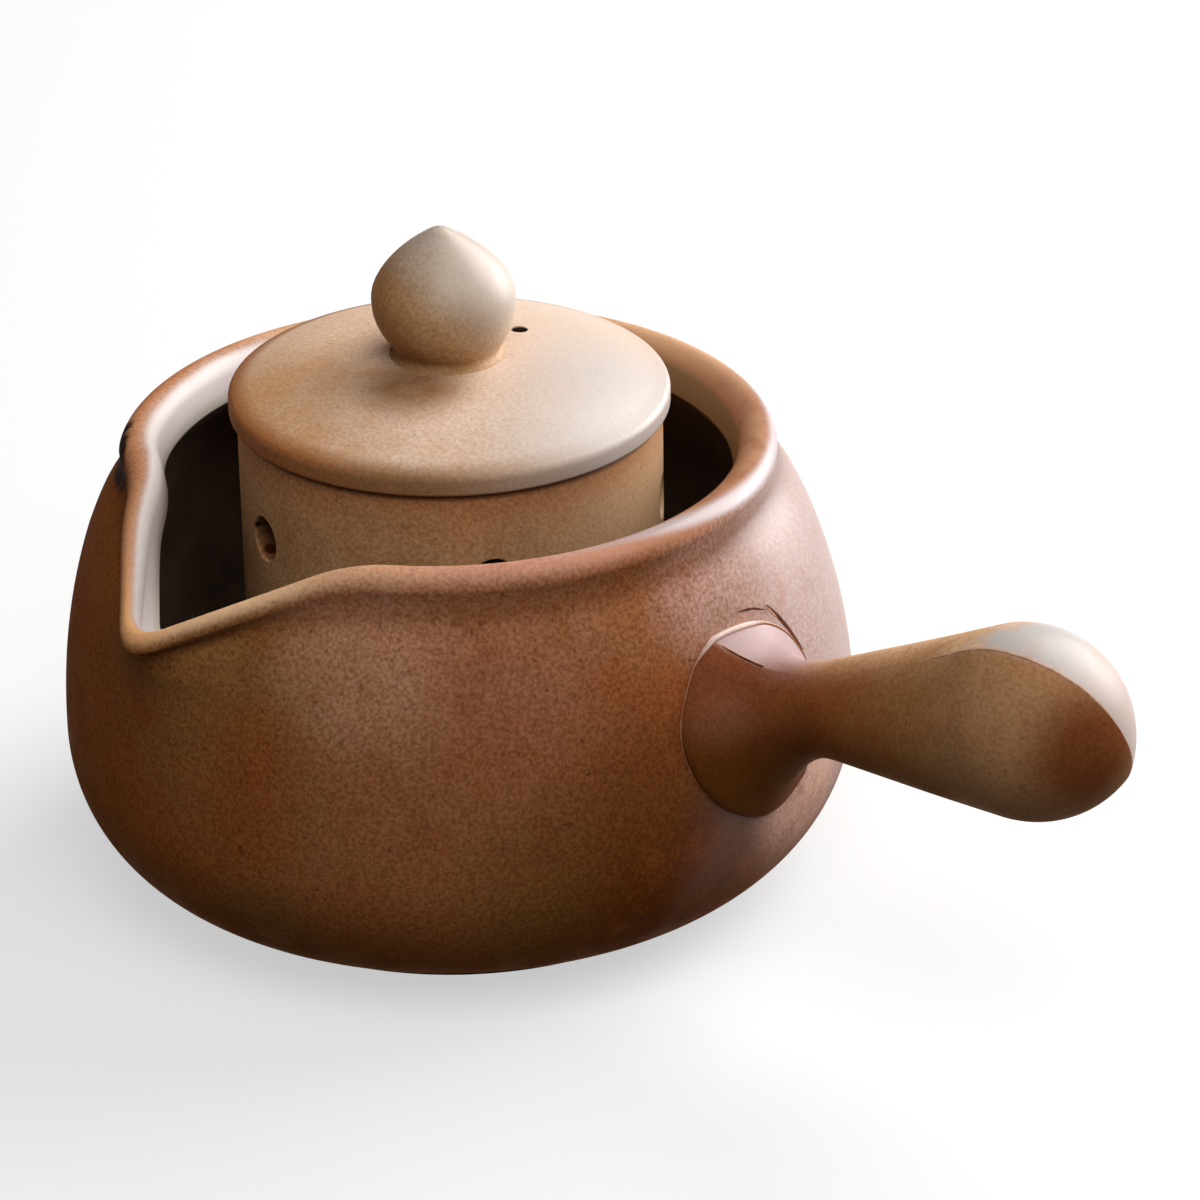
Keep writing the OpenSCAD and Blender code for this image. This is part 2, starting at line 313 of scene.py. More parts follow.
def bowl_section(share):
    """Section of the round bowl at a share of the lip, with each point's angle round the rolled rim."""
    outer = crowded(FOOT_H, WALL_TOP, [i / OUTER_STEPS for i in range(OUTER_STEPS + 1)])
    inner = crowded(FLOOR_Z, HOLLOW_Z, [1 - i / INNER_STEPS for i in range(INNER_STEPS + 1)])
    thin = BEAD_R * (1 - LIP_THIN * math.sqrt(max(0, share)))
    angles = np.linspace(BEAD_START, BEAD_STOP, BEAD_STEPS + 1)
    bead = [(RIM_R + thin * math.cos(a), RIM_Z + BEAD_R * math.sin(a)) for a in np.radians(angles)]
    start = np.array((wall_r(WALL_TOP), WALL_TOP))
    corner = np.array((SHOULDER_R - (SHOULDER_BEYOND + BEAD_R * LIP_THIN) * share, SHOULDER_Z))
    stop = np.array(bead[0])
    section = [(wall_r(z), z, BEAD_START) for z in outer]
    for i in range(1, SHOULDER_STEPS):
        u = i / SHOULDER_STEPS
        r, z = (1 - u) ** 2 * start + 2 * u * (1 - u) * corner + u * u * stop
        section.append((r, z, BEAD_START))
    section += [(r, z, a) for (r, z), a in zip(bead, angles)]
    edge_r = RIM_R - thin - BAND_SLOPE * (1 - share)
    section += [(edge_r + r, RIM_Z - BAND_H + z, BEAD_STOP) for r, z in BAND_EDGE]
    section += [(hollow_r(z), z, BEAD_STOP) for z in inner]
    return np.array(section)


RINGS = 720
# Rounding of the crease under the rolled rim: rows of wall that it takes in, and how often it is repeated
GROOVE_BEFORE = 3
GROOVE_ROUNDS = 14
# The hand-thrown wall leans a little, as seen from the front: right at the belly and left at the rim
LEAN_BELLY = 0.35
LEAN_RIM = -0.6

# Angles about the bowl, and the angle round the rolled rim where its pale inner slope, cream clay with a
# painted sheen, begins there
PALE_AT = (180, 200, 219, 240, 258, 275, 360, 420, 500, 540)
PALE_FROM = (60, 62, 62, 50, 52, 125, 130, 120, 90, 60)
PALE_SOFT = 82.0
# Dark mark of the fire on the rolled rim beside the lip: where it lies, and how far up the roll
FIRE_AT = (207, 217, 219, 221, 231)
FIRE_UP = (96, 98, 90, 78, 40)
FIRE_SOFT = 60.0
FIRE_ROWS = 6
# Rows of the section on either side of the crease that get painted shade
GROOVE_ROWS = 4
# Angles round the rolled rim over which its crest, partly worn and partly painted highlight, begins, and its
# share away from the lip
CREST_AT = (5, 55)
CREST_LEAST = 0.65


def soften_groove(profile):
    """Rounds the crease under the rolled rim, whose two sides the section joins at a corner."""
    first = OUTER_STEPS - GROOVE_BEFORE
    last = BEAD_ROW + BEAD_STEPS // 4
    for _ in range(GROOVE_ROUNDS):
        profile[first:last] = (profile[first - 1:last - 1] + profile[first + 1:last + 1]) / 2
    return profile


def lean(z):
    """Sideways place of the wall's middle at a height."""
    belly = LEAN_BELLY * smooth_step(z, FOOT_H, BELLY_Z)
    return belly + (LEAN_RIM - LEAN_BELLY) * smooth_step(z, BELLY_Z, RIM_Z)


def bowl_column(profile, turn, share, out):
    """One upright row of points, pulled out and down by the lip and leaning with the wall."""
    column = []
    for r, z in profile:
        reach = r + out * pull(z)
        x = reach * math.cos(turn) + lean(z) * VIEW_RIGHT.x
        y = reach * math.sin(turn) + lean(z) * VIEW_RIGHT.y
        column.append((x, y, z - LIP_DROP * share * pull(z)))
    return column


def bowl_values(angles, share, about):
    """One upright row of the numbers that the bowl's material reads, by name."""
    about = (about - 180) % 360 + 180
    rows = np.arange(len(angles))
    pale = np.interp(about, PALE_AT, PALE_FROM)
    top = np.interp(about, FIRE_AT, FIRE_UP)
    marked = smooth_step(about, *FIRE_AT[:2]) * (1 - smooth_step(about, *FIRE_AT[-2:]))
    marked = marked * smooth_step(rows, BEAD_ROW - FIRE_ROWS, BEAD_ROW)
    wear_and_highlight = CREST_LEAST + (1 - CREST_LEAST) * min(1, 2 * share)
    return {
        "inward": smooth_step(angles, pale, pale + PALE_SOFT),
        "crest": smooth_step(angles, *CREST_AT) * wear_and_highlight,
        "fire": marked * (1 - smooth_step(angles, top - FIRE_SOFT, top)),
        # Painted shade in the crease under the rolled rim
        "groove": np.exp(-((rows - BEAD_ROW + 1) / GROOVE_ROWS) ** 2),
        "roll": angles / BEAD_STOP,
        "sill": rows > BAND_ROW,
    }


def build_bowl():
    points, values = [], []
    for j in range(RINGS):
        phi = j * 360 / RINGS
        phi = phi - 360 if phi > 180 else phi
        share = lip_mean(lip_place, phi)
        out = lip_mean(path_r, phi) - RIM_R
        turn = math.radians(phi - LIP_ANGLE)
        section = bowl_section(share)
        points.append(bowl_column(soften_groove(section[:, :2]), turn, share, out))
        values.append(bowl_values(section[:, 2], share, math.degrees(turn)))
    grid = np.array(points).transpose(1, 0, 2)
    faces = capped_faces(len(grid), RINGS)
    piece = make_piece("bowl_body", grid.reshape(-1, 3), faces, "pot", "bowl")
    for name in values[0]:
        set_values(piece, name, np.array([row[name] for row in values]).T.reshape(-1))
    inside = [int(i // RINGS >= INSIDE_ROW) for i in range((len(grid) - 1) * RINGS)] + [0, 1]
    piece.data.materials.append(bowl_clay())
    piece.data.materials.append(inside_glaze())
    piece.data.polygons.foreach_set("material_index", inside)


# Side handle

TILT = math.radians(HANDLE_TILT)
HANDLE_START = np.array((wall_r(HANDLE_Z), 0, HANDLE_Z))
HANDLE_ALONG = np.array((math.cos(TILT), 0, math.sin(TILT)))
HANDLE_UP = np.array((-math.sin(TILT), 0, math.cos(TILT)))
HANDLE_SIDE = np.array((0.0, 1.0, 0.0))
END_TURN = (GRIP_R - TAPER_R) / GRIP_AT * GRIP_END / GRIP_R
END_JOIN = GRIP_AT - GRIP_END * END_TURN / math.hypot(1, END_TURN)

# The ridge where the handle's two halves meet is sharp at both ends and worn soft between
RIDGE_END = 3.0
RIDGE_ROOT = 2.2
RIDGE_MIDDLE = 0.3
RIDGE_ROOT_FADE = (3, 17)
RIDGE_END_FADE = (36, 62)
# Share of the ridge's depth by which the outline would shrink if the radius stayed the same
RIDGE_LOSS = 0.78
# The flare at the root is slimmer at the top and back, where it was pressed on, and fuller in front
SLIM_BACK = 2.0
SLIM_TURN = 35.0
SLIM_SPREAD = (-0.1, 0.9)
FULL_FRONT = 2.2
FULL_TURN = -130.0
FULL_SPREAD = (0.2, 0.85)
SLIM_LENGTH = 16.0

HANDLE_SIDES = 192
HALF_SIDES = HANDLE_SIDES // 2
HANDLE_STATIONS = 150
RIDGE_COLUMNS = (0, HALF_SIDES)
# How far the root reaches into the wall
HANDLE_SUNK = 1.5
ROOT_SEARCH = (-8.0, 12.0)
HALVINGS = 40
# Places along the handle where the upper half's edge turns from sharp to soft and back to sharp
UPPER_ROOT = (3.0, 10.0)
UPPER_END = (44.0, 56.0)
# Angles from the ridge over which the soft edge rises in front and falls at the back
SOFT_FRONT = (-25, 45)
SOFT_BACK = (120, 180)
EDGE_COLUMNS = 2


def handle_r(t):
    """Radius along the handle: a taper, a flared root and a rounded end."""
    end = GRIP_R * np.sqrt(np.maximum(0, 1 - ((t - GRIP_AT) / GRIP_END) ** 2))
    join = GRIP_R * math.sqrt(1 - ((END_JOIN - GRIP_AT) / GRIP_END) ** 2)
    taper = TAPER_R + (join - TAPER_R) * t / END_JOIN
    open_share = (ROOT_LEN - np.maximum(t, -ROOT_SINK)) / (ROOT_LEN + ROOT_SINK)
    flare = (ROOT_R - TAPER_R) * np.maximum(0, open_share) ** 3
    return np.where(t < END_JOIN, taper + flare, end)


def ridge_depth(t):
    """How far each half is set in towards the ridge at a place along the handle."""
    root = 1 - smooth_step(t, *RIDGE_ROOT_FADE)
    end = smooth_step(t, *RIDGE_END_FADE)
    return RIDGE_MIDDLE + (RIDGE_ROOT - RIDGE_MIDDLE) * root + (RIDGE_END - RIDGE_MIDDLE) * end


def half_r(t):
    """Radius of each half, which makes up for its being set in."""
    return handle_r(t) + RIDGE_LOSS * (ridge_depth(t) - SEAM_IN)


def handle_out(turn):
    """Direction straight out of the handle at an angle (degrees) from its top towards its back."""
    a = math.radians(turn)
    return math.cos(a) * HANDLE_UP + math.sin(a) * HANDLE_SIDE


def handle_points(t, turn):
    """Points on the handle at places along it and angles (degrees) from its top towards its back."""
    slim = SLIM_BACK * smooth_step(np.cos(np.radians(turn - SLIM_TURN)), *SLIM_SPREAD)
    full = FULL_FRONT * smooth_step(np.cos(np.radians(turn - FULL_TURN)), *FULL_SPREAD)
    r = half_r(t) + (full - slim) * (1 - smooth_step(t, 0, SLIM_LENGTH))
    off = np.radians(turn - SEAM_TURN)
    depth = np.minimum(ridge_depth(t), r)
    reach = np.sqrt(np.maximum(0, r ** 2 - (depth * np.sin(off)) ** 2)) - depth * np.abs(np.cos(off))
    reach = np.maximum(reach, 0)
    a = np.radians(turn)
    up = (reach * np.cos(a))[..., None] * HANDLE_UP
    side = (reach * np.sin(a))[..., None] * HANDLE_SIDE
    return HANDLE_START + np.asarray(t)[..., None] * HANDLE_ALONG + up + side


def halve(low, high, before):
    """Narrows a range to the place where a test stops being true."""
    for _ in range(HALVINGS):
        middle = (low + high) / 2
        if before(middle):
            low = middle
        else:
            high = middle
    return low, high


def root_place(turn):
    """Place along the handle where its surface leaves the bowl's wall, at one angle."""
    def inside(t):
        x, y, z = handle_points(np.array(t), turn)
        return math.hypot(x, y) < wall_r(z)

    return halve(*ROOT_SEARCH, inside)[1]


def handle_end():
    """Place along the handle where its two halves close to a point."""
    return halve(GRIP_AT, GRIP_AT + GRIP_END, lambda t: half_r(t) > ridge_depth(t))[0]


def sharpen_ridge(piece):
    """Marks the edges along both ridges as sharp."""
    sharp = piece.data.attributes.new("sharp_edge", "BOOLEAN", "EDGE")
    for edge in piece.data.edges:
        a, b = (v % HANDLE_SIDES for v in edge.vertices)
        if a == b and a in RIDGE_COLUMNS:
            sharp.data[edge.index].value = True


def set_handle_values(piece, along):
    """Share of the pale upper half and nearness to a ridge, for the handle's material."""
    column = np.arange(along.size) % HANDLE_SIDES
    from_ridge = np.minimum(column % HALF_SIDES, HALF_SIDES - column % HALF_SIDES)
    half_turn = (column - HALF_SIDES) * 360 / HANDLE_SIDES
    hard = np.where(np.isin(column, RIDGE_COLUMNS), 0.5, column > HALF_SIDES)
    soft = smooth_step(half_turn, *SOFT_FRONT) * (1 - smooth_step(half_turn, *SOFT_BACK))
    ends = np.maximum(1 - smooth_step(along, *UPPER_ROOT), smooth_step(along, *UPPER_END))
    set_values(piece, "upper", ends * hard + (1 - ends) * soft)
    set_values(piece, "edge", ends * np.clip(1 - from_ridge / EDGE_COLUMNS, 0, 1))


def build_handle():
    turns = SEAM_TURN + 90 + np.arange(HANDLE_SIDES) * 360 / HANDLE_SIDES
    starts = np.array([root_place(a) for a in turns]) - HANDLE_SUNK
    stop = handle_end()
    shares = np.sin(np.linspace(0, math.pi / 2, HANDLE_STATIONS))
    places = np.array([starts + (stop - starts) * s for s in shares])
    points = np.array([handle_points(row, turns) for row in places]).reshape(-1, 3)
    faces = capped_faces(HANDLE_STATIONS, HANDLE_SIDES)
    piece = make_piece("handle_body", points, faces, "pot", "side_handle")
    sharpen_ridge(piece)
    set_handle_values(piece, places.reshape(-1))
    piece.data.materials.append(handle_clay())


# Marks of the making: the rolled seam round the handle's root, with its pale top partly painted highlight,
# its ridge, and the strokes beside it, with a painted shadow line along the root's top

ROLL_THIN = 0.2
ROLL_THICK = 0.55
ROLL_TOP = -12.0
ROLL_SPREAD = (0.8, 0.99)
ROLL_LIFT = 0.15
ROLL_SIDES = 12

RIDGE_TURN = SEAM_TURN - 90
RIDGE_LINE_R = 0.22
RIDGE_LINE_LEAST = 0.01
RIDGE_LINE_SINK = 0.08
RIDGE_LINE_STEPS = 60
# How steeply the ridge line thickens from its start and thins towards its stop
RIDGE_LINE_RISE = 5
RIDGE_LINE_FALL = 8
# Where the two ridge lines start or stop, and the gaps that they leave at the handle's ends
END_RIDGE_START = 40.0
END_RIDGE_GAP = 0.1
ROOT_RIDGE_STOP = 6.5
ROOT_RIDGE_GAP = 0.3

# Angle round the bowl and height of the strokes beside the handle's root and of the painted shadow line along
# the root's top, and their widths
SCORE_LONG = ((7.2, 63.8), (8.9, 61.2), (10.9, 57.6), (12.9, 52.9))
SCORE_SHORT = ((6.6, 64.1), (7.6, 62.6), (8.6, 60.9))
JOINT_SHADOW_ARC = ((0.2, 65.6), (1.8, 65.3), (3.9, 64.7), (6.4, 63.4))
LONG_WIDTH = 1.1
SHORT_WIDTH = 0.7
SHADOW_ARC_WIDTH = 0.4
STROKE_STEPS = 24
# Section of a stroke: shares of its half width, and lifts off the wall
STROKE_SECTION = ((-1, -0.05), (-0.6, 0.09), (0, 0.04), (0.6, 0.09), (1, -0.05))
STROKE_BLUNT = 0.04
STROKE_TAPER = 0.7


def wall_out(x, y, z):
    """Direction straight out of the bowl's wall."""
    step = 0.1
    slope = (wall_r(z + step) - wall_r(z - step)) / (2 * step)
    out = np.array((x, y, -slope * math.hypot(x, y)))
    return out / np.linalg.norm(out)


def tube(centres, firsts, seconds, radii):
    """Points and faces of a tube through centres, with its rings in the planes of two directions."""
    a = np.radians(np.arange(ROLL_SIDES) * 360 / ROLL_SIDES)
    points = []
    for centre, first, second, r in zip(centres, firsts, seconds, radii):
        points += [centre + r * (c * first + s * second) for c, s in zip(np.cos(a), np.sin(a))]
    return points, grid_faces(len(centres), ROLL_SIDES)


def build_root_roll():
    """Clay pressed into the corner between handle and bowl, thickest on top."""
    centres, firsts, seconds, radii, tops = [], [], [], [], []
    for turn in np.arange(HANDLE_SIDES + 1) * 360 / HANDLE_SIDES:
        at = handle_points(np.array(root_place(turn)), turn)
        out = wall_out(*at)
        off = handle_out(turn)
        off = off - out * np.dot(off, out)
        thick = smooth_step(math.cos(math.radians(turn - ROLL_TOP)), *ROLL_SPREAD)
        r = ROLL_THIN + (ROLL_THICK - ROLL_THIN) * thick
        tops += [thick] * ROLL_SIDES
        centres.append(at + ROLL_LIFT * r * out)
        firsts.append(out)
        seconds.append(off / np.linalg.norm(off))
        radii.append(r)
    points, faces = tube(centres, firsts, seconds, radii)
    piece = make_piece("handle_root_roll", points, faces, "pot")
    # Share of the pale top, partly wear and partly painted highlight
    set_values(piece, "wear_and_highlight", tops)
    piece.data.materials.append(root_clay())


def build_ridge_line(name, start, stop, material):
    """Thin raised line left along the handle's seam between two places along the handle."""
    off = handle_out(RIDGE_TURN)
    shares = np.linspace(0, 1, RIDGE_LINE_STEPS)
    places = start + (stop - start) * np.sin(shares * math.pi / 2)
    centres = [handle_points(np.array(t), RIDGE_TURN) - RIDGE_LINE_SINK * off for t in places]
    full = [min(1, RIDGE_LINE_RISE * u, RIDGE_LINE_FALL * (1 - u)) for u in shares]
    radii = [RIDGE_LINE_R * share + RIDGE_LINE_LEAST for share in full]
    across = np.cross(HANDLE_ALONG, off)
    points, faces = tube(centres, [off] * len(shares), [across] * len(shares), radii)
    piece = make_piece(name, points, faces, "pot")
    piece.data.materials.append(material)


def build_ridge_lines():
    build_ridge_line("handle_end_ridge", END_RIDGE_START, handle_end() - END_RIDGE_GAP, roll_clay())
    root = root_place(RIDGE_TURN) + ROOT_RIDGE_GAP
    build_ridge_line("handle_root_ridge", root, ROOT_RIDGE_STOP, score_and_shadow_clay())


def build_stroke(name, places, width, material):
    """Line on the bowl's wall through places of (angle, height), tapering to both ends, for the scored lines
    and for the painted shadow line along the root's top.
    """
    knots = np.linspace(0, 1, len(places))
    shares = np.linspace(0, 1, STROKE_STEPS)
    angles = np.radians(np.interp(shares, knots, [p[0] for p in places]))
    heights = np.interp(shares, knots, [p[1] for p in places])
    reach = np.array([wall_r(z) for z in heights])
    middle = np.stack((reach * np.cos(angles), reach * np.sin(angles), heights), axis=1)
    points = []
    for at, run, share in zip(middle, np.gradient(middle, axis=0), shares):
        out = wall_out(*at)
        side = np.cross(out, run / np.linalg.norm(run))
        bulge = math.sin(math.pi * (STROKE_BLUNT + (1 - 2 * STROKE_BLUNT) * share))
        half = width / 2 * bulge ** STROKE_TAPER
        shift = lean(at[2]) * np.array(VIEW_RIGHT)
        points += [at + shift + k * half * side + lift * out for k, lift in STROKE_SECTION]
    count = len(STROKE_SECTION)
    corners = [i * count + k for i in range(STROKE_STEPS - 1) for k in range(count - 1)]
    faces = [(c, c + 1, c + count + 1, c + count) for c in corners]
    piece = make_piece(name, points, faces, "pot")
    piece.data.materials.append(material)


def build_strokes():
    dark = score_and_shadow_clay()
    build_stroke("score_long", SCORE_LONG, LONG_WIDTH, dark)
    # Painted shadow line along the top of the handle's root, where it meets the wall
    build_stroke("joint_shadow_arc", JOINT_SHADOW_ARC, SHADOW_ARC_WIDTH, dark)
    build_stroke("score_pale", SCORE_SHORT, SHORT_WIDTH, roll_clay())


# Pieces turned on the wheel

TURNED_SIDES = 288
SHARP_TURN = math.radians(38)
# Radius of the small caps at the axis
AXIS_R = 0.5
EDGE_STEPS = 6

FOOT_ROUND = 0.8
FOOT_SOFT = 0.3
FOOT_FLAT = (0.4, 1.2)
FOOT_FLARE = 1.0
# Gap that keeps the foot's top from lying in the bowl's underside
FOOT_GAP = 0.02


def foot_profile():
    groove = FOOT_H / 3
    inner = FOOT_R - FOOT_W
    top = FOOT_H - FOOT_GAP
    return ([(inner - FOOT_FLARE, top), (inner, FOOT_SOFT)]
            + [(inner + FOOT_FLAT[0], 0.0), (FOOT_R - FOOT_FLAT[1], 0.0)]
            + arc(FOOT_R - FOOT_ROUND, FOOT_ROUND, FOOT_ROUND, -90, 0, EDGE_STEPS)
            + [(FOOT_R, FOOT_H - groove - FOOT_SOFT), (FOOT_R - FOOT_SOFT, FOOT_H - groove),
               (FOOT_R - GROOVE_D, FOOT_H - groove / 2), (FOOT_R - GROOVE_D, top)])


def build_foot():
    points, faces = lathe(foot_profile() + foot_profile()[:1], TURNED_SIDES)
    piece = make_piece("foot_band", points, faces, "pot", "foot_ring")
    piece.data.materials.append(foot_clay())


CUP_EDGE = 1.2
CUP_CORNER = 3.0
CORNER_STEPS = 8
CUP_WALL_ROWS = 40
CUP_LINING_ROWS = 24
HOLE_SIDES = 40
HOLE_SOFT = 0.45
# Profile of a hole: how much wider it gets, in shares of its softness, and how far from the cup's face
HOLE_MOUTH = ((0.0, -2 * CUP_WALL), (0.0, -2 * HOLE_SOFT), (0.3, -HOLE_SOFT), (1.3, 0.1), (1.6, CUP_WALL))


def cup_profile():
    inner_r = CUP_R - CUP_WALL
    inner_z = FLOOR_Z + CUP_FLOOR
    top = CUP_TOP - CUP_EDGE
    wall = [(CUP_R, z) for z in np.linspace(FLOOR_Z + CUP_CORNER, top, CUP_WALL_ROWS)[1:-1]]
    lining = [(inner_r, z) for z in np.linspace(top, inner_z + CUP_CORNER, CUP_LINING_ROWS)[1:-1]]
    return ([(AXIS_R, FLOOR_Z)]
            + arc(CUP_R - CUP_CORNER, FLOOR_Z + CUP_CORNER, CUP_CORNER, -90, 0, CORNER_STEPS) + wall
            + arc(CUP_R - CUP_EDGE, top, CUP_EDGE, 0, 90, EDGE_STEPS)
            + arc(inner_r + CUP_EDGE, top, CUP_EDGE, 90, 180, EDGE_STEPS) + lining
            + arc(inner_r - CUP_CORNER, inner_z + CUP_CORNER, CUP_CORNER, 0, -90, CORNER_STEPS)
            + [(AXIS_R, inner_z)])


def hole_cutter():
    """Bores through the cup's wall, each with a soft mouth on the outside."""
    r = HOLE_D / 2
    profile = [(r + wider * HOLE_SOFT, CUP_R + out) for wider, out in HOLE_MOUTH]
    bore, bore_faces = closed_lathe(profile, HOLE_SIDES)
    points, faces = [], []
    for row in range(HOLE_ROWS):
        for i in range(HOLES_ROUND):
            a = math.radians(HOLE_ANGLE + (i + row / 2) * 360 / HOLES_ROUND)
            c, s = math.cos(a), math.sin(a)
            z = CUP_TOP - HOLE_DEPTH - row * HOLE_PITCH
            first = len(points)
            points += [(along * c - x * s, along * s + x * c, z + y) for x, y, along in bore]
            faces += [tuple(first + v for v in f) for f in bore_faces]
    return points, faces


def finish_cut(piece, material):
    """Gives a cut piece its one material and keeps the cut's edges sharp."""
    piece.data.materials.clear()
    piece.data.materials.append(material)
    piece.data.set_sharp_from_angle(angle=SHARP_TURN)


def build_cup():
    points, faces = closed_lathe(cup_profile(), TURNED_SIDES)
    piece = make_piece("infuser_cup", points, faces, "cup", "infuser")
    cut(piece, *hole_cutter())
    finish_cut(piece, cup_clay())


LID_R = CUP_R + LID_OVER
DOME_R = LID_R - LID_ROUND
LID_SEAT_R = NECK_R + KNOB_FILLET + SEAT_MARGIN
LID_SOFT = 0.6
LID_SOFT_STEPS = 5
LID_ROUND_STOP = 66
LID_ROUND_STEPS = 10
DOME_ROWS = 40
STEAM_SIDES = 32
# Soft mouth of the steam hole: how much wider it gets, and heights below the dome where it starts
STEAM_WIDER = (0.15, 0.9)
STEAM_BELOW = (0.5, 0.2)


def dome_z(r):
    return LID_SHOULDER + LID_RISE * (1 - ((r - LID_SEAT_R) / (DOME_R - LID_SEAT_R)) ** 2)


def lid_profile():
    flange_r = CUP_R - CUP_WALL - LID_GAP
    flange_z = CUP_TOP - FLANGE_H
    dome = [(r, dome_z(r)) for r in np.linspace(DOME_R, LID_SEAT_R, DOME_ROWS)[1:]]
    return ([(AXIS_R, CUP_TOP), (flange_r - FLANGE_T, CUP_TOP), (flange_r - FLANGE_T, flange_z),
             (flange_r - LID_SOFT, flange_z), (flange_r, flange_z + LID_SOFT), (flange_r, CUP_TOP)]
            + arc(LID_R - LID_SOFT, CUP_TOP + LID_SOFT, LID_SOFT, -90, 0, LID_SOFT_STEPS)
            + arc(DOME_R, LID_SHOULDER - LID_ROUND, LID_ROUND, 0, LID_ROUND_STOP, LID_ROUND_STEPS)
            + dome + [(AXIS_R, LID_TOP)])


def steam_place():
    """Middle of the steam hole on the lid, seen from above."""
    a = math.radians(STEAM_ANGLE)
    return STEAM_AT * math.cos(a), STEAM_AT * math.sin(a)


def build_lid():
    points, faces = closed_lathe(lid_profile(), TURNED_SIDES)
    piece = make_piece("lid_disc", points, faces, "cover", "lid")
    r = STEAM_D / 2
    rise = dome_z(STEAM_AT)
    profile = [(r, CUP_TOP - LID_EDGE), (r, rise - STEAM_BELOW[0]),
               (r + STEAM_WIDER[0], rise - STEAM_BELOW[1]), (r + STEAM_WIDER[1], LID_TOP + LID_EDGE)]
    bore, bore_faces = closed_lathe(profile, STEAM_SIDES)
    at_x, at_y = steam_place()
    cut(piece, [(x + at_x, y + at_y, z) for x, y, z in bore], bore_faces)
    finish_cut(piece, lid_clay())


KNOB_SIDES = 192
KNOB_LOW_ROWS = 40
KNOB_HIGH_ROWS = 80
# The tip is worn blunt: how wide, and how far down
BLUNT_WIDE = 0.7
BLUNT_DOWN = 0.35
TIP_END_R = 0.05
# The knob stands a little to the left and its tip leans further: how far, and over which shares of its height
KNOB_SHIFT = -0.55
KNOB_SHIFT_RISE = (0, 0.35)
TIP_LEAN = -0.4
TIP_LEAN_RISE = (0.6, 1)


def knob_profile():
    widest = LID_TOP + KNOB_Z
    neck_turn = math.acos(NECK_R / KNOB_R)
    turns = np.linspace(-neck_turn, 0, KNOB_LOW_ROWS)
    low = [(KNOB_R * math.cos(a), widest + KNOB_LOW * math.sin(a)) for a in turns]
    heights = np.sin(np.linspace(0, math.pi / 2, KNOB_HIGH_ROWS))[1:-1]
    high = [(KNOB_R * (1 - h ** KNOB_FULL) ** KNOB_SHARP, widest + KNOB_PEAK * h) for h in heights]
    high = [(r, z - BLUNT_DOWN * math.exp(-(r / BLUNT_WIDE) ** 2 / 2)) for r, z in high]
    fillet = arc(NECK_R + KNOB_FILLET, LID_TOP + KNOB_FILLET, KNOB_FILLET, 270, 180, CORNER_STEPS)
    return fillet + low + high + [(TIP_END_R, high[-1][1])]


def build_knob():
    points, faces = closed_lathe(knob_profile(), KNOB_SIDES)
    points = np.array(points)
    rise = np.clip((points[:, 2] - LID_TOP) / (KNOB_Z + KNOB_PEAK), 0, 1)
    shift = KNOB_SHIFT * smooth_step(rise, *KNOB_SHIFT_RISE) + TIP_LEAN * smooth_step(rise, *TIP_LEAN_RISE)
    points[:, :2] += shift[:, None] * np.array(VIEW_RIGHT.to_2d())
    piece = make_piece("knob_ball", points, faces, "cover", "knob")
    piece.data.materials.append(knob_clay())


# Materials

# Middles of the places where the fire coloured the clay, of painted shadows, painted light and painted sheen,
# of a pit on the lid, and of painted shade in a hole that shows
# Painted shadow of the handle on the wall below it
HANDLE_SHADOW = (60, -22, 24)
UNDER_LIP = (4, -66, 60)
BESIDE_LIP = (27, -56, 67)
BESIDE_ROOT = (66, -24, 44)
# Painted shadow under the handle's root
ROOT_SHADOW = (69, -12, 31)
# Painted light low on the right, below the handle
RIGHT_LOW_LIGHT = (70, 10, 30)
ROOT_SHEEN = (71, -14, 53)
RED_LEFT = ((12, -67, 51), (11, -69, 38))
OLIVE_LOW = (54, -45, 28)
# Painted sheen on the right shoulder
SHOULDER_SHEEN = (62, -6, 71)
END_FLASH = (141, -6, 65)
LID_PIT = (14.6, -34.0, 94.5)
# Painted shading over the left hole's bore, painted shade where the inside shows through it, and a painted
# shadow at its upper edge
LEFT_HOLE_SHADING = (-13.0, -34.0, 70.6)
HOLE_RED_SHADE = (-14.4, -32.4, 67.3)
HOLE_SHADOW = (-16.5, -33.0, 71.8)
# Painted shadow of the knob on the lid
KNOB_SHADOW_ON_LID = (4.5, -14.5, 97.3)

# Numbers of a noise between which one clay turns into another
CLOUD_RANGE = (0.35, 0.65)


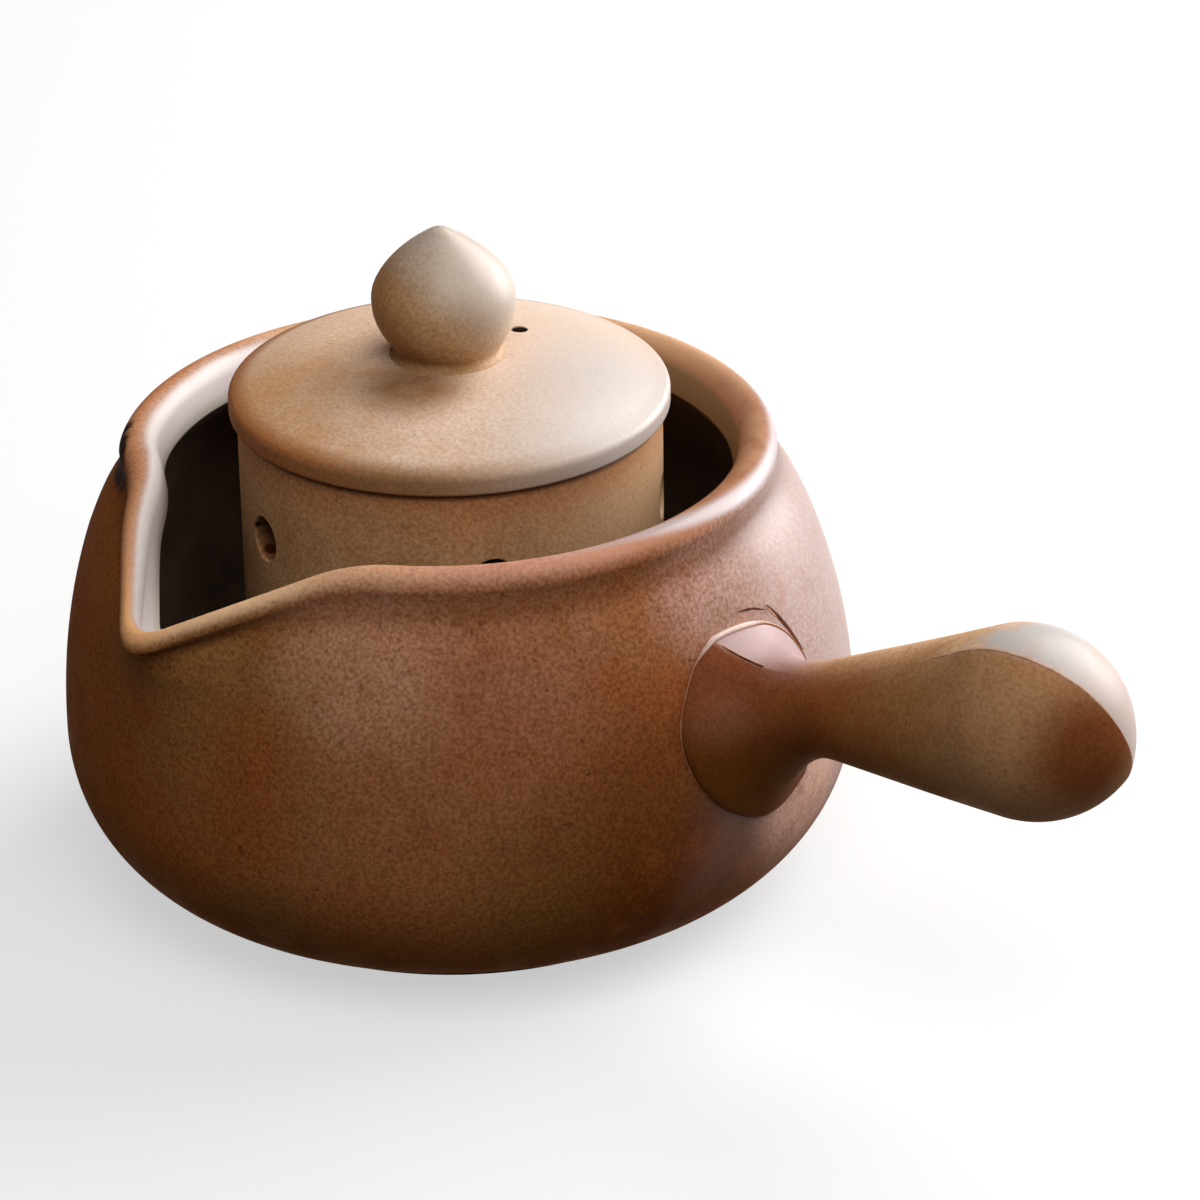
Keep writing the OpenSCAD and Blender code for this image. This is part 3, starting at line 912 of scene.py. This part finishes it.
class Nodes:
    """Short calls for building one material's node tree, whose colour is laid on in steps."""

    def __init__(self, name):
        self.material = bpy.data.materials.new(name)
        self.material.use_nodes = True
        self.tree = self.material.node_tree
        self.place = self.add("ShaderNodeTexCoord").outputs["Object"]
        self.colour = None

    def put(self, socket, value):
        """Joins a socket to a node's output, or sets it to a value."""
        if isinstance(value, bpy.types.NodeSocket):
            self.tree.links.new(value, socket)
        else:
            socket.default_value = value

    def add(self, kind, inputs=None, **settings):
        """A node with its settings and with what its inputs are given, by name or number."""
        node = self.tree.nodes.new(kind)
        for key, value in settings.items():
            setattr(node, key, value)
        for key, value in (inputs or {}).items():
            self.put(node.inputs[key], value)
        return node

    def shade(self, values):
        """The material, with its shader's inputs as given by name."""
        for name, value in values.items():
            self.put(self.tree.nodes["Principled BSDF"].inputs[name], value)
        return self.material

    def noise(self, size, detail=3.0, rough=0.55):
        """Noise whose features are about the given number of millimetres across."""
        inputs = {"Vector": self.place, "Scale": 1 / (size * MM), "Detail": detail, "Roughness": rough}
        return self.add("ShaderNodeTexNoise", inputs).outputs["Fac"]

    def math(self, operation, a, b=0.0, clamp=False):
        node = self.add("ShaderNodeMath", {0: a, 1: b}, operation=operation, use_clamp=clamp)
        return node.outputs[0]

    def times(self, a, b):
        return self.math("MULTIPLY", a, b)

    def most(self, a, b):
        return self.math("MAXIMUM", a, b)

    def spread(self, value, low, high, to_low=0.0, to_high=1.0):
        """Smooth change from to_low to to_high as the value goes from low to high."""
        inputs = {"Value": value, "From Min": low, "From Max": high, "To Min": to_low, "To Max": to_high}
        return self.add("ShaderNodeMapRange", inputs, interpolation_type="SMOOTHSTEP").outputs["Result"]

    def between(self, length, low, high, to_low=0.0, to_high=1.0):
        """A spread of a length, with low and high in millimetres."""
        return self.spread(length, low * MM, high * MM, to_low, to_high)

    def mix(self, factor, a, b, blend="MIX"):
        inputs = {"Factor": factor, 6: a, 7: b}
        return self.add("ShaderNodeMix", inputs, data_type="RGBA", blend_type=blend).outputs[2]

    def lay(self, mask, clay):
        """Lays a clay over the colour where the mask is 1."""
        self.colour = self.mix(mask, self.colour, clay)

    def tint(self, mask, strength, clay):
        """Lays a clay over the colour as far as the strength goes."""
        self.lay(self.times(mask, strength), clay)

    def mark(self, centre, inner, outer, strength, clay):
        """Lays a clay over the colour round one place."""
        self.tint(self.blob(centre, inner, outer), strength, clay)

    def clouds(self, noise, first, second):
        """Two clays that turn into each other with a noise."""
        return self.mix(self.spread(noise, *CLOUD_RANGE), first, second)

    def attribute(self, name):
        return self.add("ShaderNodeAttribute", attribute_name=name).outputs["Fac"]

    def axis(self, name):
        return self.add("ShaderNodeSeparateXYZ", {0: self.place}).outputs[name]

    def vector(self, operation, *inputs):
        node = self.add("ShaderNodeVectorMath", dict(enumerate(inputs)), operation=operation)
        return node.outputs

    def along(self, direction):
        """Distance in metres along a direction."""
        return self.vector("DOT_PRODUCT", self.place, Vector(direction).normalized())["Value"]

    def radius(self):
        """Distance in metres from the upright axis."""
        flat = self.vector("MULTIPLY", self.place, (1.0, 1.0, 0.0))["Vector"]
        return self.vector("LENGTH", flat)["Value"]

    def blob(self, centre, inner, outer):
        """1 within the inner distance (millimetres) of a place and 0 beyond the outer one."""
        off = self.vector("DISTANCE", self.place, Vector(centre) * MM)["Value"]
        return self.between(off, inner, outer, 1.0, 0.0)

    def bump(self, height, strength, distance, below=None):
        inputs = {"Height": height, "Strength": strength, "Distance": distance * MM}
        if below:
            inputs["Normal"] = below
        return self.add("ShaderNodeBump", inputs).outputs["Normal"]


def rgb(red, green, blue):
    """Linear colour with alpha from the 0 to 255 numbers that a screen shows."""
    linear = [(v / 255 / 12.92) if v < 11 else ((v / 255 + 0.055) / 1.055) ** 2.4 for v in (red, green, blue)]
    return (*linear, 1.0)


# Sizes in millimetres of what every clay shows: grain, specks, patches and shallow dents
GRAIN_SIZE = 0.7
SPECK_SIZE = 1.3
PATCH_SIZE = 7.0
DENT_SIZE = 6.0
# How far the grain darkens and lightens red, green and blue
GRAIN_DEPTH = (0.28, 0.40, 0.52)
GRAIN_RANGE = (0.28, 0.72)
SPECK_RANGE = (0.68, 0.75)
SPECK_SHARE = 0.5
# How far patches and grain change the roughness
UNEVEN_RANGE = (0.3, 0.7)
PATCH_ROUGH = 0.07
GRAIN_ROUGH = 0.04
SPECULAR = 0.06
COAT_ROUGHNESS = 0.36
COAT_IOR = 1.55


def clay_finish(n, roughness, grain=1.0, gloss=0.0):
    """Fine grain, sparse specks and the thin glaze that every clay piece shares.

    Grain and gloss are shares from 0 to 1, as numbers or as node outputs."""
    fine = n.noise(GRAIN_SIZE, 2.0, 0.6)
    dark = tuple(1 - v for v in GRAIN_DEPTH) + (1.0,)
    light = tuple(1 + v for v in GRAIN_DEPTH) + (1.0,)
    grains = n.mix(n.spread(fine, *GRAIN_RANGE), dark, light)
    n.colour = n.mix(grain, n.colour, grains, "MULTIPLY")
    specks = n.spread(n.noise(SPECK_SIZE, 1.0, 0.5), *SPECK_RANGE, 0.0, SPECK_SHARE)
    n.tint(specks, grain, rgb(64, 32, 14))
    patches = n.spread(n.noise(PATCH_SIZE, 4.0, 0.65), *UNEVEN_RANGE, -PATCH_ROUGH, PATCH_ROUGH)
    uneven = n.math("ADD", patches, n.spread(fine, *UNEVEN_RANGE, -GRAIN_ROUGH, GRAIN_ROUGH))
    dents = n.bump(n.noise(DENT_SIZE, 3.0, 0.6), 0.25, 0.3)
    return n.shade({
        "Base Color": n.colour,
        "Roughness": n.math("ADD", roughness, uneven, clamp=True),
        "Specular IOR Level": SPECULAR,
        "Coat Weight": gloss,
        "Coat Roughness": COAT_ROUGHNESS,
        "Coat IOR": COAT_IOR,
        "Normal": n.bump(fine, 0.3, 0.1, dents),
    })


def lay_fire_marks_and_shading(n):
    """Places on the bowl's wall that the fire darkened, reddened or left pale, with painted shadows under the
    handle and its root, painted light low on the right and a painted sheen on the right shoulder.
    """
    # Painted shadow of the handle on the wall below it
    n.mark(HANDLE_SHADOW, 8, 34, 0.9, rgb(104, 50, 8))
    n.mark(BESIDE_ROOT, 4, 24, 0.85, rgb(126, 70, 30))
    # Painted shadow under the handle's root
    n.mark(ROOT_SHADOW, 4, 16, 0.85, rgb(92, 46, 14))
    # Painted light low on the right, below the handle
    n.mark(RIGHT_LOW_LIGHT, 5, 18, 0.9, rgb(222, 168, 144))
    # Painted sheen on the right shoulder
    n.mark(SHOULDER_SHEEN, 3, 16, 0.5, rgb(206, 168, 158))
    n.mark(UNDER_LIP, 6, 36, 0.8, rgb(142, 98, 54))
    n.mark(BESIDE_LIP, 6, 22, 0.65, rgb(192, 138, 108))
    for place in RED_LEFT:
        n.mark(place, 2, 15, 0.5, rgb(150, 72, 24))
    n.mark(OLIVE_LOW, 4, 20, 0.5, rgb(116, 80, 34))


def lay_wall(n, side, height, right, cloud, mottle):
    """Browns that change round the bowl's wall, with fire marks, painted shadows and light, a painted sheen
    on the right, mottles and painted shade in the crease.
    """
    n.colour = n.clouds(n.noise(40.0, 3.0, 0.5), rgb(152, 92, 52), rgb(159, 102, 66))
    n.lay(n.between(side, -74, -20, 1.0, 0.0), rgb(150, 84, 32))
    front = n.times(n.between(side, -40, -10), n.between(side, 16, 38, 1.0, 0.0))
    high = n.times(n.between(height, 44, 66), front)
    n.tint(high, 0.65, rgb(172, 116, 86))
    # Painted sheen: a pale pinkish tint on the right side
    n.tint(right, 0.9, rgb(173, 143, 134))
    low = n.times(n.between(height, 4, 40, 0.9, 0.0), n.between(side, 44, 60, 1.0, 0.3))
    n.lay(low, rgb(130, 74, 18))
    lay_fire_marks_and_shading(n)
    broad = n.noise(24.0, 4.0, 0.55)
    plain = n.math("SUBTRACT", 1.0, right)
    n.tint(n.spread(broad, 0.54, 0.70, 0.0, 0.45), plain, rgb(124, 86, 44))
    n.tint(n.spread(broad, 0.46, 0.30, 0.0, 0.45), plain, rgb(158, 82, 42))
    n.lay(n.spread(mottle, 0.52, 0.74, 0.0, 0.45), rgb(160, 88, 40))
    n.lay(n.spread(cloud, 0.55, 0.75, 0.0, 0.35), rgb(120, 66, 36))
    # Painted shade in the crease under the rolled rim
    crease = n.times(n.attribute("groove"), n.between(side, 30, 55, 0.5, 0.75))
    n.lay(crease, rgb(104, 56, 26))


def crest_colour(n, side, away, mottle):
    """The rolled rim's crest, partly worn pale and partly painted highlight, pale on the left and rusty on
    the right.
    """
    rust = n.clouds(mottle, rgb(152, 96, 52), rgb(184, 134, 92))
    colour = n.mix(n.between(side, -30, 8), rgb(255, 208, 164), rgb(216, 160, 136))
    colour = n.mix(n.between(side, 24, 56), colour, rust)
    colour = n.mix(n.between(side, -55, -42, 1.0, 0.0), colour, rgb(248, 186, 128))
    left = n.times(n.between(away, -46, -28), n.between(side, -46, -26, 1.0, 0.0))
    colour = n.mix(left, colour, rgb(224, 160, 118))
    far = n.times(n.between(away, 10, 40), n.between(side, 0, 30))
    return n.mix(far, colour, rgb(232, 190, 150))


def rim_highlight_streak(n, side, away):
    """Mask of the painted highlight streak on the rolled rim, which runs down its outside towards the right.
    """
    middle = n.between(side, 24, 62, 0.60, 0.14)
    off = n.math("ABSOLUTE", n.math("SUBTRACT", n.attribute("roll"), middle))
    highlight_streak = n.times(n.spread(off, 0.04, 0.21, 1.0, 0.0), n.between(side, 10, 40))
    return n.times(highlight_streak, n.between(away, 0, 30, 1.0, 0.0))


def slope_colour_and_shading(n, side, inward):
    """The rim's inner slope and the sill below it: cream clay with a painted sheen as the slope turns inward,
    made browner on the right with painted shade.
    """
    colour = n.mix(n.spread(inward, 0.45, 1.0), rgb(196, 168, 154), rgb(238, 227, 224))
    colour = n.mix(n.spread(n.attribute("sill"), 0.45, 1.0), colour, rgb(212, 203, 190))
    return n.mix(n.between(side, -10, 30), colour, rgb(150, 126, 98))


def bowl_clay():
    n = Nodes("bowl clay")
    height = n.axis("Z")
    side = n.along(VIEW_RIGHT)
    away = n.along(VIEW_AWAY)
    cloud = n.noise(15.0, 4.0, 0.6)
    mottle = n.noise(6.0, 4.0, 0.65)
    # Mask of the right side, whose pale pinkish tint is painted sheen
    right = n.times(n.between(side, 38, 62), n.between(height, 6, 30))
    lay_wall(n, side, height, right, cloud, mottle)
    crest = n.attribute("crest")
    wear_and_highlight = n.times(crest, n.spread(cloud, 0.3, 0.7, 0.85, 1.0))
    n.lay(wear_and_highlight, crest_colour(n, side, away, mottle))
    highlight_streak = rim_highlight_streak(n, side, away)
    # Painted highlight along the rolled rim's outside
    n.tint(highlight_streak, 0.85, rgb(190, 176, 178))
    uneven = n.spread(cloud, 0.3, 0.7, -0.06, 0.06)
    inward = n.math("ADD", n.attribute("inward"), uneven, clamp=True)
    cream_and_sheen = n.spread(inward, 0.05, 0.95)
    # Cream clay with a painted sheen on the rim's inner slope
    n.lay(cream_and_sheen, slope_colour_and_shading(n, side, inward))
    flicker = n.spread(n.noise(3.0, 3.0, 0.6), 0.3, 0.6, 0.5, 1.6)
    fire = n.times(n.attribute("fire"), flicker)
    n.lay(n.spread(fire, 0.1, 0.9), rgb(52, 30, 26))
    dry = n.most(n.between(side, 34, 62, 1.0, 0.0), n.between(height, 12, 50, 1.0, 0.0))
    shiny = n.times(n.math("SUBTRACT", 1.0, dry), n.spread(crest, 0.0, 0.5, 1.0, 0.1))
    gloss = n.most(n.most(shiny, highlight_streak), n.times(cream_and_sheen, 0.3))
    fine_crest = n.times(crest, n.between(side, 10, 40, 0.8, 1.4))
    pale = n.most(n.times(right, 0.4), fine_crest)
    pale = n.most(pale, n.most(cream_and_sheen, highlight_streak))
    grain = n.spread(pale, 0.0, 1.0, 0.85, 0.05)
    return clay_finish(n, roughness=0.8, grain=grain, gloss=gloss)


def inside_glaze():
    n = Nodes("dark inside")
    cloud = n.noise(16.0, 3.0, 0.6)
    colour = n.mix(n.spread(cloud, 0.3, 0.7), rgb(76, 60, 48), rgb(100, 82, 66))
    roughness = n.spread(cloud, 0.3, 0.7, 0.45, 0.6)
    dents = n.bump(n.noise(4.0), 0.2, 0.3)
    return n.shade({"Base Color": colour, "Roughness": roughness, "Normal": dents})


def handle_clay():
    n = Nodes("handle clay")
    first = float(np.dot(HANDLE_START, HANDLE_ALONG))
    cloud = n.noise(11.0, 4.0, 0.6)
    streaks = n.noise(5.0, 4.0, 0.65)
    waver = n.math("ADD", n.along(HANDLE_ALONG), n.spread(cloud, 0.2, 0.8, -6 * MM, 6 * MM))

    def stretch(low, high, *ends):
        """A spread between two places along the handle, in millimetres from its root."""
        return n.between(waver, first + low, first + high, *ends)

    n.colour = n.mix(stretch(6, 22), rgb(128, 70, 42), rgb(154, 92, 46))
    n.lay(stretch(20, 40), rgb(166, 114, 68))
    n.lay(stretch(38, 58), rgb(182, 134, 94))
    n.lay(n.spread(streaks, 0.5, 0.75, 0.0, 0.4), rgb(150, 84, 38))
    n.mark(END_FLASH, 5, 16, 0.9, rgb(124, 62, 24))
    n.tint(n.between(n.axis("Z"), 60, 42), 0.9, rgb(104, 58, 14))
    n.mark(ROOT_SHEEN, 1, 8, 0.2, rgb(168, 116, 94))
    # The pale upper half is partly the clay's second tone and partly painted sheen, palest on the end and on
    # the root's top
    end_face = stretch(54, 64)
    root_face = stretch(10, 24, 1.0, 0.0)
    tip = n.mix(stretch(64, 73), rgb(192, 188, 186), rgb(196, 178, 168))
    top = n.mix(n.spread(streaks, 0.3, 0.8), rgb(236, 194, 154), rgb(208, 162, 122))
    pale = n.mix(root_face, n.mix(end_face, top, tip), rgb(176, 146, 144))
    upper = n.attribute("upper")
    n.tint(upper, 0.9, pale)
    # Painted highlight along the ridge
    n.tint(n.attribute("edge"), 0.35, rgb(214, 166, 130))
    smooth = n.times(upper, n.most(end_face, root_face))
    grain = n.spread(smooth, 0.0, 1.0, 0.45, 0.1)
    return clay_finish(n, roughness=0.75, grain=grain, gloss=n.times(smooth, 0.5))


def root_clay():
    """The rolled seam: pale on top, partly worn and partly painted highlight, and as brown as the wall
    elsewhere.
    """
    n = Nodes("seam clay")
    brown = n.clouds(n.noise(3.0, 3.0, 0.6), rgb(150, 92, 58), rgb(172, 116, 84))
    wear_and_highlight = n.attribute("wear_and_highlight")
    n.colour = n.mix(wear_and_highlight, brown, rgb(226, 198, 186))
    return clay_finish(n, roughness=0.6, grain=0.3, gloss=n.times(wear_and_highlight, 0.6))


def roll_clay():
    n = Nodes("worn clay")
    n.colour = n.clouds(n.noise(3.0, 3.0, 0.6), rgb(186, 136, 110), rgb(206, 162, 138))
    return clay_finish(n, roughness=0.6, grain=0.4)


# Dark clay of the scored lines, also used for the painted shadow line above the handle's root
def score_and_shadow_clay():
    n = Nodes("scored clay and painted shadow")
    n.colour = n.clouds(n.noise(2.0, 3.0, 0.6), rgb(74, 36, 22), rgb(104, 58, 40))
    return clay_finish(n, roughness=0.8, grain=0.4)


def foot_clay():
    n = Nodes("foot clay")
    n.colour = n.clouds(n.noise(8.0, 4.0, 0.6), rgb(54, 32, 16), rgb(68, 42, 22))
    return clay_finish(n, roughness=0.85)


def bore_shade_mask(n, height):
    """Mask of the painted shade on the holes' walls, which lie between the cup's two faces and below its
    edge.
    """
    radius = n.radius()
    lining = CUP_R - CUP_WALL
    past_lining = n.between(radius, lining + 0.2, lining + 0.8)
    before_face = n.between(radius, CUP_R - 0.9, CUP_R - 0.4, 1.0, 0.0)
    below_edge = n.between(height, CUP_TOP - 6, CUP_TOP - 4, 0.8, 0.0)
    return n.times(n.times(past_lining, before_face), below_edge)


def cup_clay():
    n = Nodes("infuser clay")
    cloud = n.noise(10.0, 4.0, 0.6)
    height = n.axis("Z")
    right = n.between(n.along(VIEW_RIGHT), 4, 34)
    n.colour = n.clouds(cloud, rgb(184, 136, 94), rgb(196, 150, 108))
    # Painted sheen: the right side is paler
    n.tint(right, 0.7, rgb(214, 174, 136))
    waver = n.math("ADD", height, n.spread(cloud, 0.2, 0.8, -5 * MM, 5 * MM))
    n.lay(n.between(waver, 77, 88, 0.0, 0.7), rgb(192, 128, 82))
    # Painted shade on the holes' walls
    n.lay(bore_shade_mask(n, height), rgb(70, 42, 24))
    # Painted shading over the left hole's bore, painted shade where the inside shows through it, and a
    # painted shadow at its upper edge
    n.lay(n.blob(LEFT_HOLE_SHADING, 3.7, 4.3), rgb(134, 92, 54))
    n.lay(n.blob(HOLE_RED_SHADE, 0.8, 1.5), rgb(70, 28, 8))
    n.lay(n.blob(HOLE_SHADOW, 0.3, 0.9), rgb(30, 18, 8))
    # Painted shadow in the gap under the lid's edge
    lid_gap_shadow = n.between(height, CUP_TOP - 1.8, CUP_TOP - 0.6, 0.0, 0.85)
    n.lay(lid_gap_shadow, rgb(84, 54, 32))
    grain = n.spread(right, 0.0, 1.0, 0.6, 0.3)
    return clay_finish(n, roughness=0.6, grain=grain, gloss=n.times(right, 0.5))


def lid_clay():
    n = Nodes("lid clay")
    cloud = n.noise(11.0, 4.0, 0.6)
    side = n.along(VIEW_RIGHT)
    n.colour = n.clouds(n.noise(28.0, 3.0, 0.5), rgb(224, 188, 158), rgb(230, 198, 174))
    flash = n.math("SUBTRACT", n.spread(cloud, 0.2, 0.8, -10 * MM, 10 * MM), side)
    n.lay(n.between(flash, 2, 36, 0.0, 0.9), rgb(216, 162, 114))
    n.lay(n.spread(cloud, 0.5, 0.75, 0.0, 0.3), rgb(206, 150, 104))
    right = n.between(side, -6, 30)
    # Painted sheen: the right side is paler and greyer
    n.tint(right, 0.8, rgb(200, 195, 192))
    back = n.between(n.along(VIEW_AWAY), -8, 20)
    n.tint(back, 0.65, rgb(236, 208, 184))
    edge = n.between(n.axis("Z"), 92.8, 91.2)
    shade = n.between(side, -10, 34, 0.95, 0.1)
    band = n.mix(n.between(side, -34, -4), rgb(164, 100, 56), rgb(146, 106, 68))
    n.tint(edge, shade, band)
    # Painted shadow of the knob on the lid
    knob_shadow = n.times(n.blob(KNOB_SHADOW_ON_LID, 3, 14), n.spread(cloud, 0.25, 0.7, 0.75, 1.0))
    n.lay(knob_shadow, rgb(142, 100, 62))
    n.lay(n.blob(LID_PIT, 0.5, 1.0), rgb(70, 40, 22))
    # Painted shade inside the steam hole
    bore = (*steam_place(), dome_z(STEAM_AT) - STEAM_D / 2)
    n.lay(n.blob(bore, STEAM_D * 0.62, STEAM_D * 0.72), rgb(46, 30, 20))
    grain = n.spread(right, 0.0, 1.0, 0.35, 0.1)
    return clay_finish(n, roughness=0.6, grain=grain, gloss=n.times(right, 0.75))


def knob_clay():
    n = Nodes("knob clay")
    cloud = n.noise(8.0, 4.0, 0.6)
    height = n.axis("Z")
    side = n.along(VIEW_RIGHT)
    n.colour = n.clouds(cloud, rgb(194, 148, 102), rgb(206, 166, 124))
    flash = n.math("SUBTRACT", n.spread(cloud, 0.2, 0.8, -4 * MM, 4 * MM), side)
    n.lay(n.between(flash, 0, 12, 0.0, 0.8), rgb(172, 120, 74))
    slant = n.between(height, 100, 116, -10 * MM, 4 * MM)
    right = n.between(n.math("ADD", side, slant), -9, 11)
    # Painted highlight: the upper right is paler
    n.tint(right, 0.75, rgb(204, 196, 188))
    n.lay(n.between(height, 112, 120, 0.0, 0.6), rgb(200, 186, 174))
    shade = n.times(n.between(height, 99.5, 104, 1.0, 0.0), n.between(side, 0, 8, 0.4, 0.0))
    n.lay(shade, rgb(136, 98, 60))
    grain = n.spread(right, 0.0, 1.0, 0.45, 0.1)
    return clay_finish(n, roughness=0.6, grain=grain, gloss=n.times(right, 0.65))


# Stage, light and camera

FLOOR_HALF = 6000.0
FLOOR_DULL = (0.08, 0.076, 0.072, 1)
FLOOR_PALE = (0.42, 0.42, 0.42, 1)
GLOW_COLOUR = (1, 1, 1, 1)
GLOW_STRENGTH = 0.56

# Each lamp's name, direction to the right, away and up as seen, distance and size in metres, watts and colour
LAMPS = (
    ("window", (0.68, 0.50, 0.52), 1.0, 0.9, 13.0, (1.0, 0.98, 0.97)),
    ("side", (0.82, 0.55, 0.15), 1.0, 0.55, 4.5, (0.98, 0.98, 1.0)),
    ("overhead", (0.12, -0.55, 0.82), 1.3, 1.0, 9.0, (1.0, 0.98, 0.95)),
)
ROOM_COLOUR = (1.0, 0.99, 0.98, 1)
ROOM_STRENGTH = 0.1


def build_floor():
    corners = [(x * FLOOR_HALF, y * FLOOR_HALF, 0) for x, y in ((-1, -1), (1, -1), (1, 1), (-1, 1))]
    floor = new_object("floor", corners, [(0, 1, 2, 3)])
    floor.data.materials.append(floor_paper())


def floor_paper():
    """Pale paper that shows white and keeps the shadow, and throws little light back up."""
    n = Nodes("floor paper")
    n.tree.nodes.clear()
    path = n.add("ShaderNodeLightPath").outputs
    shiny = n.most(path["Is Glossy Ray"], path["Is Transmission Ray"])
    seen = n.most(path["Is Camera Ray"], shiny)
    dull = n.add("ShaderNodeBsdfDiffuse", {"Color": FLOOR_DULL}).outputs[0]
    pale = n.add("ShaderNodeBsdfDiffuse", {"Color": FLOOR_PALE}).outputs[0]
    glow = n.add("ShaderNodeEmission", {"Color": GLOW_COLOUR, "Strength": GLOW_STRENGTH}).outputs[0]
    both = n.add("ShaderNodeAddShader", {0: pale, 1: glow}).outputs[0]
    choose = n.add("ShaderNodeMixShader", {0: seen, 1: dull, 2: both}).outputs[0]
    n.add("ShaderNodeOutputMaterial", {0: choose})
    return n.material


def facing(toward):
    """Turn of a lamp or camera that looks back along a direction."""
    return toward.to_track_quat("Z", "Y").to_matrix().to_4x4()


def add_light(name, direction, distance, size, power, colour):
    """Soft square lamp that faces the object."""
    data = bpy.data.lights.new(name, "AREA")
    data.shape = "SQUARE"
    data.size = size
    data.energy = power
    data.color = colour
    lamp = bpy.data.objects.new(name, data)
    bpy.context.scene.collection.objects.link(lamp)
    right, away, up = direction
    toward = (VIEW_RIGHT * right + VIEW_AWAY * away + UP * up).normalized()
    centre = UP * VIEW_HEIGHT * MM
    lamp.matrix_world = Matrix.Translation(centre + toward * distance) @ facing(toward)


def build_lights():
    for lamp in LAMPS:
        add_light(*lamp)
    world = bpy.data.worlds.new("room")
    world.use_nodes = True
    background = world.node_tree.nodes["Background"].inputs
    background["Color"].default_value = ROOM_COLOUR
    background["Strength"].default_value = ROOM_STRENGTH
    bpy.context.scene.world = world


def build_camera():
    data = bpy.data.cameras.new("camera")
    data.sensor_width = SENSOR
    data.lens = SENSOR * FOCAL_PIXELS / PHOTO_SIZE
    camera = bpy.data.objects.new("camera", data)
    bpy.context.scene.collection.objects.link(camera)
    rise = math.radians(VIEW_ELEVATION)
    target = (VIEW_RIGHT * VIEW_SIDE + UP * VIEW_HEIGHT) * MM
    toward = -VIEW_AWAY * math.cos(rise) + UP * math.sin(rise)
    roll = Matrix.Rotation(math.radians(VIEW_ROLL), 4, "Z")
    camera.matrix_world = Matrix.Translation(target + toward * VIEW_DISTANCE * MM) @ facing(toward) @ roll
    bpy.context.scene.camera = camera


build_bowl()
build_handle()
build_root_roll()
build_ridge_lines()
build_strokes()
build_foot()
build_cup()
build_lid()
build_knob()
build_floor()
build_lights()
build_camera()
bpy.context.scene.view_settings.view_transform = "Standard"
